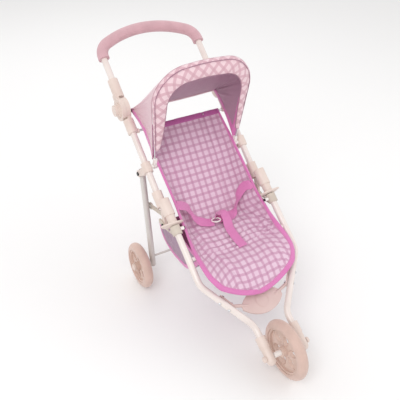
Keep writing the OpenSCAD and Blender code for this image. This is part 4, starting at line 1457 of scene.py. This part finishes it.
    def facings(self) -> list[bpy.types.Object]:
        """Builds the bright strip that runs up the inside of each foot of the bow.

        Returns:
            The two strips.
        """
        pieces = []
        for side in Side:
            s = np.linspace(0.010, 0.178, 60)
            x, rise = self.arch(400, 0.010)
            half = x > 0
            across = np.interp(s, rise[half][::-1], x[half][::-1])
            path = self.plane(side.value * (across - 0.0035), s, -0.003)
            front = unit(self.plane(np.array(0.0), np.array(0.0), 1.0) - self.plane(np.array(0.0), np.array(0.0)))
            inner = np.repeat(((-X_AXIS * side.value) * 0.55 - front * 0.83)[None], 60, axis=0)
            tangent = unit(np.gradient(path, axis=0))
            inner = unit(inner - tangent * (inner * tangent).sum(-1, keepdims=True))
            profile = round_profile(0.0115, 0.0014) + [0.0045, 0.0]
            end = np.clip((s - 0.010) / 0.02, 0.45, 1.0) * np.clip((0.186 - s) / 0.05, 0.25, 1.0)
            profiles = profile[None] * np.stack([end, np.ones(60)], axis=1)[:, None]
            name = f"canopy_facing_{side.name.lower()}"
            strip = sweep_object(name, path, inner, np.cross(tangent, inner), profiles, [Palette.TAPE])
            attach(strip, "canopy_frame")
            pieces.append(strip)
        return pieces

    @staticmethod
    def band_map(band: bpy.types.Object, count: int, around: int) -> None:
        """Lays the band's cut coordinates along its length, the same on both faces.

        Args:
            band: The band.
            count: Points along it.
            around: Points round its profile.
        """
        points = np.empty(len(band.data.vertices) * 3, np.float32)
        band.data.vertices.foreach_get("co", points)
        grid = points.reshape(count, around, 3)
        along = np.cumsum(np.linalg.norm(np.diff(grid[:, 7], axis=0, prepend=grid[:1, 7]), axis=-1))
        across = np.linalg.norm(grid - grid[:, :1], axis=-1)
        uv = np.stack([across, np.broadcast_to(along[:, None], across.shape)], axis=-1).reshape(-1, 2)
        set_cut(band.data, uv)

    def rear_edge(self, share: np.ndarray) -> np.ndarray:
        """Returns points on the hood's rear edge.

        Args:
            share: Places from -2 at the left peg, over -1 and 1 at the hinges, to 2 at the right peg.

        Returns:
            The points.
        """
        hinge = np.array([self.hinge_x, self.joints.hinge[0] - 0.003, self.joints.hinge[1] - 0.004])
        peg = np.array([self.foot_x - 0.001, *self.joints.collar]) + [0.0, 0.004, 0.014]
        size = np.abs(share)[:, None]
        mirror = np.where(share < 0, -1.0, 1.0)[:, None] * np.array([1.0, 0, 0]) + np.array([0, 1.0, 1.0])
        ones = np.ones_like(size)
        hem = hinge * np.concatenate([np.minimum(size, 1), ones, ones], axis=1)
        hem[:, 2] -= 0.0035 * (1 - np.minimum(size[:, 0], 1) ** 2)
        down = np.clip(size - 1, 0, 1)
        low = hinge * (1 - down) + peg * down
        low += 4 * down * (1 - down) * np.array([-0.003, -0.010, 0.012])
        return np.where(size <= 1, hem, low) * mirror

    def hood(self) -> list[bpy.types.Object]:
        """Builds the hood, its hem and the bindings of its lower edges.

        Returns:
            The hood and what is sewn to it.
        """
        cols, rows = 161, 44
        x, s = self.arch(cols, 0.026)
        front = self.plane(x * 1.035, s + 0.0045 * np.clip((s - 0.18) / 0.08, 0, 1), -0.004)
        u = np.linspace(-1, 1, cols)
        place = np.interp(np.abs(u), [0, 0.34, 0.42, 0.62, 0.72, 1.0], [0, 0.90, 0.985, 1.03, 1.10, 2.0]) * np.sign(u)
        rear = smooth_rows(self.rear_edge(place), 2)
        v = np.linspace(0, 1, rows)[:, None, None]
        grid = front[None] * (1 - v) + rear[None] * v
        normal = grid_normals(grid)
        outward = grid - np.array([0.0, *(0.5 * (self.joints.collar + self.joints.hinge))])
        flip = np.sign((normal * outward).sum(-1).mean())
        normal = normal * flip
        vv, uu = np.broadcast_to(v[..., 0], grid.shape[:2]), np.broadcast_to(np.abs(u), grid.shape[:2])
        arc = np.sin(math.pi * vv)
        lift = arc * (0.005 * hump(uu, 0.0, 0.30) - 0.006 * hump(uu, 0.62, 0.20))
        lift += arc * 0.0022 * ripple(uu * 0.3, vv * 0.05, 21, 6, 0.09)
        for at, width, deep in self.HOOD_CREASES:
            lift -= vv**1.3 * (1 - vv) ** 0.6 * deep * 1.8 * hump(uu, at + 0.02 * vv, width)
        grid = grid + normal * lift[..., None]
        sheet_grid = grid if flip > 0 else grid[:, ::-1]
        hood = sheet_object("canopy_hood_cloth", sheet_grid, [Palette.SATIN, Palette.LINING], self.thick)
        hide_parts("canopy_hood")
        pieces = self.hood_edges(grid, grid_normals(grid) * flip, place)
        for piece in (hood, *pieces):
            self.bend(piece)
        return [hood, *pieces]

    def hood_edges(self, grid: np.ndarray, normal: np.ndarray, place: np.ndarray) -> list[bpy.types.Object]:
        """Builds the hem between the hinges and the tape on each lower edge.

        Args:
            grid: The hood's points, with its rear edge last.
            normal: Its outward normals.
            place: The rear edge's places.

        Returns:
            The pieces.
        """
        edge, inward = grid[-1], unit(grid[-5] - grid[-1])
        surface = Surface(grid, normal)
        pieces, rows = [], []
        spans = {"canopy_rear_hem": (np.abs(place) <= 1.0, 0.0085, Palette.SATIN)}
        for side in Side:
            spans[f"canopy_binding_{side.name.lower()}"] = (place * side.value >= 1.0, 0.0115, Palette.TAPE)
        for name, (chosen, width, finish) in spans.items():
            k = np.flatnonzero(chosen)
            path, up = edge[k], unit(smooth_rows(normal[-1][k], 3))
            along = unit(np.gradient(path, axis=0))
            into = inward[k] - along * (inward[k] * along).sum(-1, keepdims=True)
            into = unit(smooth_rows(unit(into - up * (into * up).sum(-1, keepdims=True)), 3))
            tape = edge_tape(name, surface, path, into, up, np.full(len(k), width), self.thick, finish)
            pieces.append(tape)
            place_on, off = surface.lay(path + into * (width - 0.0012))
            rows.append(place_on + off * 0.0012)
        stitches = self.stitcher.rows("canopy_stitches", rows, Palette.THREAD)
        return pieces + [stitches]

    def bend(self, piece: bpy.types.Object) -> None:
        """Bakes a piece's transform into its mesh; it does not fold it.

        Args:
            piece: The hood, or a piece sewn to it.
        """
        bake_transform(piece)

    def snaps(self) -> list[bpy.types.Object]:
        """Builds the black snap that holds the hood to each hinge.

        Returns:
            The two snaps.
        """
        radius, high, count = 0.0045, 0.0022, 20
        pieces = []
        for side in Side:
            turn = np.linspace(0, math.pi / 2, 7)
            outline = [(radius * math.cos(t), high * math.sin(t)) for t in turn]
            around = np.linspace(0, 2 * math.pi, count, endpoint=False)
            y, z = self.joints.hinge
            centre = np.array([side.value * (self.hinge_x + 0.001), y - 0.012, z - 0.002])
            points = [
                centre + [-side.value * h, r * math.cos(a), r * math.sin(a)] for r, h in outline[:-1] for a in around
            ]
            points += [centre + [-side.value * high, 0, 0], centre]
            top, base = len(points) - 2, len(points) - 1
            rings = len(outline) - 1
            after = [(j + 1) % count for j in range(count)]
            faces = [
                [i * count + j, i * count + after[j], (i + 1) * count + after[j], (i + 1) * count + j]
                for i in range(rings - 1)
                for j in range(count)
            ]
            last = (rings - 1) * count
            faces += [[last + j, last + after[j], top] for j in range(count)]
            faces += [[after[j], j, base] for j in range(count)]
            name, cut = f"canopy_snap_{side.name.lower()}", np.zeros((len(points), 2))
            snap = mesh_object(name, np.array(points), faces, cut, [Palette.BLACK])
            outward(snap)
            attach(snap, "upper_frame")
            pieces.append(snap)
        return pieces

    def build(self) -> list[bpy.types.Object]:
        """Builds the whole canopy."""
        return self.rim() + self.facings() + self.hood() + self.snaps()


@dataclass
class Basket:
    """The sagging basket under the seat: net sides, sling and bindings.

    Args:
        joints: The stroller's hinges.
        stitcher: Lays its stitches.
        half: Half width of the basket.
        thick: Thickness of its cloth.
    """

    joints: Joints
    stitcher: Stitcher
    half: float = 0.101
    thick: float = 0.0013

    def outlines(self, count: int) -> tuple[np.ndarray, np.ndarray]:
        """Returns the lower and the upper outline of a side, as (0, y, z) points.

        Args:
            count: Points on each outline.

        Returns:
            The lower and the upper outline.
        """
        low = [
            (0, -0.111, -0.050), (0, -0.084, -0.086), (0, -0.045, -0.121), (0, 0.004, -0.130),
            (0, 0.050, -0.129), (0, 0.092, -0.112), (0, 0.112, -0.079),
        ]
        high = [
            (0, -0.105, -0.046), (0, -0.060, -0.046), (0, -0.010, -0.045),
            (0, 0.045, -0.049), (0, 0.085, -0.060), (0, 0.110, -0.073),
        ]
        base = np.array([0, *self.joints.fold])
        return smooth_through(np.array(low) + base, count), smooth_through(np.array(high) + base, count)

    def build(self) -> list[bpy.types.Object]:
        """Builds the basket.

        Returns:
            The sling, the sides, their bindings and the stitches.
        """
        cols, rows = 90, 30
        low, high = self.outlines(cols)
        pieces, tapes, rows_of_thread = [], [], []
        for side in Side:
            share = np.linspace(0, 1, rows)[:, None, None]
            grid = high[None] * (1 - share) + low[None] * share
            bulge = np.sin(math.pi * share[..., 0]) * np.sin(math.pi * np.linspace(0, 1, cols))[None]
            crinkle = ripple(grid[..., 1], grid[..., 2], 31, 11, 0.030)
            out = self.half + 0.0035 * bulge + 0.0016 * crinkle * np.minimum(1, 4 * bulge)
            grid = grid + X_AXIS * side.value * out[..., None]
            ordered = grid if side is Side.RIGHT else grid[:, ::-1]
            normal = grid_normals(ordered)
            if (normal[rows // 2, cols // 2] * X_AXIS * side.value).sum() < 0:
                ordered = ordered[:, ::-1]
            net = sheet_object(f"basket_side_{side.name.lower()}", ordered, [Palette.NET], self.thick)
            pieces.append(net)
            surface = Surface(grid, np.broadcast_to(X_AXIS * side.value, grid.shape))
            for name, edge, to, width in (("lower", grid[-1], grid[-6], 0.0120), ("upper", grid[0], grid[5], 0.0070)):
                inward = unit(to - edge)
                up = np.repeat((X_AXIS * side.value)[None], cols, axis=0)
                label = f"basket_{name}_binding_{side.name.lower()}"
                widths = np.full(cols, width)
                tapes.append(edge_tape(label, surface, edge, inward, up, widths, self.thick, Palette.TAPE))
                place, off = surface.lay(edge + inward * (width - 0.0012))
                rows_of_thread.append(place + off * 0.0012)
        across = np.linspace(-1, 1, 61)
        down = np.array([0, 0, -0.0035])
        sag = (1 - across**2)[None, :, None] * down * np.sin(math.pi * np.linspace(0, 1, cols))[:, None, None]
        sling = low[:, None] + X_AXIS * (across * (self.half - 0.001))[None, :, None] + sag
        sling = sling + np.array([0, 0, 0.0010]) * ripple(sling[..., 0], sling[..., 1], 33, 8, 0.05)[..., None]
        made = sheet_object("basket_sling", sling[:, ::-1], [Palette.BACKING, Palette.NET], self.thick)
        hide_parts("basket")
        stitches = self.stitcher.rows("basket_stitches", rows_of_thread, Palette.THREAD)
        for piece in (made, *pieces, *tapes, stitches):
            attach(piece, "front_frame")
        self.declare(made, sling, [])
        plain_side = np.array([high * (1 - t) + low * t for t in np.linspace(0, 1, rows)])
        for net, tape in zip(pieces, (tapes[:2], tapes[2:])):
            self.declare(net, plain_side, tape)
        return [made, *pieces, *tapes, stitches]

    @staticmethod
    def declare(piece: bpy.types.Object, grid: np.ndarray, with_pieces: list[bpy.types.Object]) -> None:
        """Takes a sheet of the basket and does nothing with it; nothing is declared.

        Args:
            piece: The sheet; not used.
            grid: Its points, rows by columns by 3; not used.
            with_pieces: The tapes sewn to it; not used.
        """


@dataclass
class Frame:
    """The frame nodes, each dressed in its finish.

    Args:
        nodes: The frame's node objects by name.
    """

    nodes: dict[str, bpy.types.Object]

    FINISHES = {
        "front_tube": Palette.TUBE, "upper_tube": Palette.TUBE, "handle_tube": Palette.TUBE,
        "rear_leg": Palette.LEG, "leg_cross_rod": Palette.LEG, "rear_axles": Palette.LEG,
        "fork_sleeve": Palette.PALE, "axle_nuts": Palette.PALE, "lock_housing": Palette.PALE,
        "hinge_lower": Palette.PALE, "hinge_upper": Palette.PALE, "hinge_button": Palette.PALE,
        "rear_hub_caps": Palette.PALE, "plunger": Palette.PALE,
        "front_rim": Palette.RIM, "rear_rim": Palette.RIM, "footrest": Palette.REST,
        "axle_spacers": Palette.WHITE, "fabric_spacers": Palette.WHITE, "bow_clips": Palette.WHITE,
        "canopy_pegs": Palette.WHITE, "harness_ring": Palette.WHITE,
        "fold_bracket": Palette.BRACKET, "leg_collar": Palette.PALE, "fold_links": Palette.BRACKET,
        "fold_pins": Palette.BLACK, "fabric_screws": Palette.BLACK, "leg_pins": Palette.BLACK,
        "hinge_pins": Palette.BLACK,
        "front_axle": Palette.STEEL, "footrest_bolts": Palette.STEEL, "back_rod": Palette.STEEL,
        "lock_springs": Palette.STEEL, "button_springs": Palette.STEEL, "canopy_bow": Palette.STEEL,
        "front_tyre": Palette.TYRE, "rear_tyre": Palette.TYRE, "foam_grip": Palette.GRIP,
    }

    def dress(self) -> None:
        """Gives every node its finish, the longest matching name first."""
        order = sorted(self.FINISHES, key=len, reverse=True)
        for name, node in self.nodes.items():
            found = next((key for key in order if name.startswith(key)), None)
            if found is None:
                continue
            finish = self.FINISHES[found]
            for slot in node.material_slots:
                slot.material = finish.material()
            LOG.info("dressed %s in %s", name, finish.name)


@dataclass
class Studio:
    """Pale floor, soft light and the camera.

    Args:
        lens: Focal length for a 36 mm sensor.
        place: The camera's place.
        ahead: Its line of sight.
        above: Its upward direction.
        floor_half: Half the side of the floor, in metres.
        sky: Strength of the even light from all round.
    """

    lens: float = 50.9
    place: tuple[float, float, float] = (-0.599, -0.983, 1.105)
    ahead: tuple[float, float, float] = (0.4016, 0.7128, -0.5750)
    above: tuple[float, float, float] = (0.282, 0.501, 0.818)
    floor_half: float = 12.0
    sky: float = 0.82

    def camera(self) -> None:
        """Makes the camera and sets it as the scene's."""
        data = bpy.data.cameras.new("camera")
        data.lens, data.sensor_width, data.dof.use_dof = self.lens, 36.0, False
        back = -Vector(self.ahead).normalized()
        right = Vector(self.above).cross(back).normalized()
        up = back.cross(right)
        turn = Matrix((right, up, back)).transposed().to_4x4()
        made = bpy.data.objects.new("camera", data)
        made.matrix_world = Matrix.Translation(self.place) @ turn
        bpy.context.scene.collection.objects.link(made)
        bpy.context.scene.camera = made

    def light(self, name: str, place: tuple[float, float, float], size: float, power: float) -> None:
        """Makes a soft square light that faces the stroller.

        Args:
            name: The light's name.
            place: Its place.
            size: Length of its sides.
            power: Its power, in watts.
        """
        data = bpy.data.lights.new(name, "AREA")
        data.size, data.energy = size, power
        made = bpy.data.objects.new(name, data)
        made.location = place
        made.rotation_euler = (Vector((0, 0, 0.3)) - Vector(place)).to_track_quat("-Z", "Y").to_euler()
        bpy.context.scene.collection.objects.link(made)

    def build(self) -> None:
        """Builds the floor, the lights and the camera."""
        self.camera()
        half = self.floor_half
        square = np.array([[-half, -half, 0], [half, -half, 0], [half, half, 0], [-half, half, 0]])
        floor = mesh_object("floor", square, [[0, 1, 2, 3]], square[:, :2], [Palette.FLOOR])
        world = bpy.data.worlds.new("studio")
        world.use_nodes = True
        world.node_tree.nodes["Background"].inputs[0].default_value = (1.0, 0.99, 0.985, 1.0)
        world.node_tree.nodes["Background"].inputs[1].default_value = self.sky
        bpy.context.scene.world = world
        self.light("key", (-1.6, -1.4, 2.4), 1.4, 26.0)
        self.light("fill", (1.8, -1.0, 1.6), 1.8, 8.0)
        self.light("back", (0.2, 2.0, 2.0), 1.6, 10.0)


def corners(box: tuple[Vector, Vector]) -> list[list[float]]:
    """Returns a box's two corners as plain lists."""
    return [[round(float(v), 5) for v in corner] for corner in box]


def main() -> None:
    """Builds the stroller's looks round the frame."""
    logging.basicConfig(level=logging.INFO, format="%(name)s: %(message)s")
    for old in list(bpy.data.objects):
        bpy.data.objects.remove(old)
    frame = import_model()
    bpy.context.scene.view_settings.view_transform = "Standard"
    Studio().build()
    joints = Joints.read(frame)
    Frame(frame["nodes"]).dress()
    stitcher = Stitcher()
    fold = Fold(joints)
    parts = (SeatCover(fold, joints, stitcher), Harness(joints), Canopy(joints, stitcher), Basket(joints, stitcher))
    for part in parts:
        for piece in part.build():
            LOG.info("built %s, %d faces", piece.name, len(piece.data.polygons))


if __name__ == "__main__":
    main()
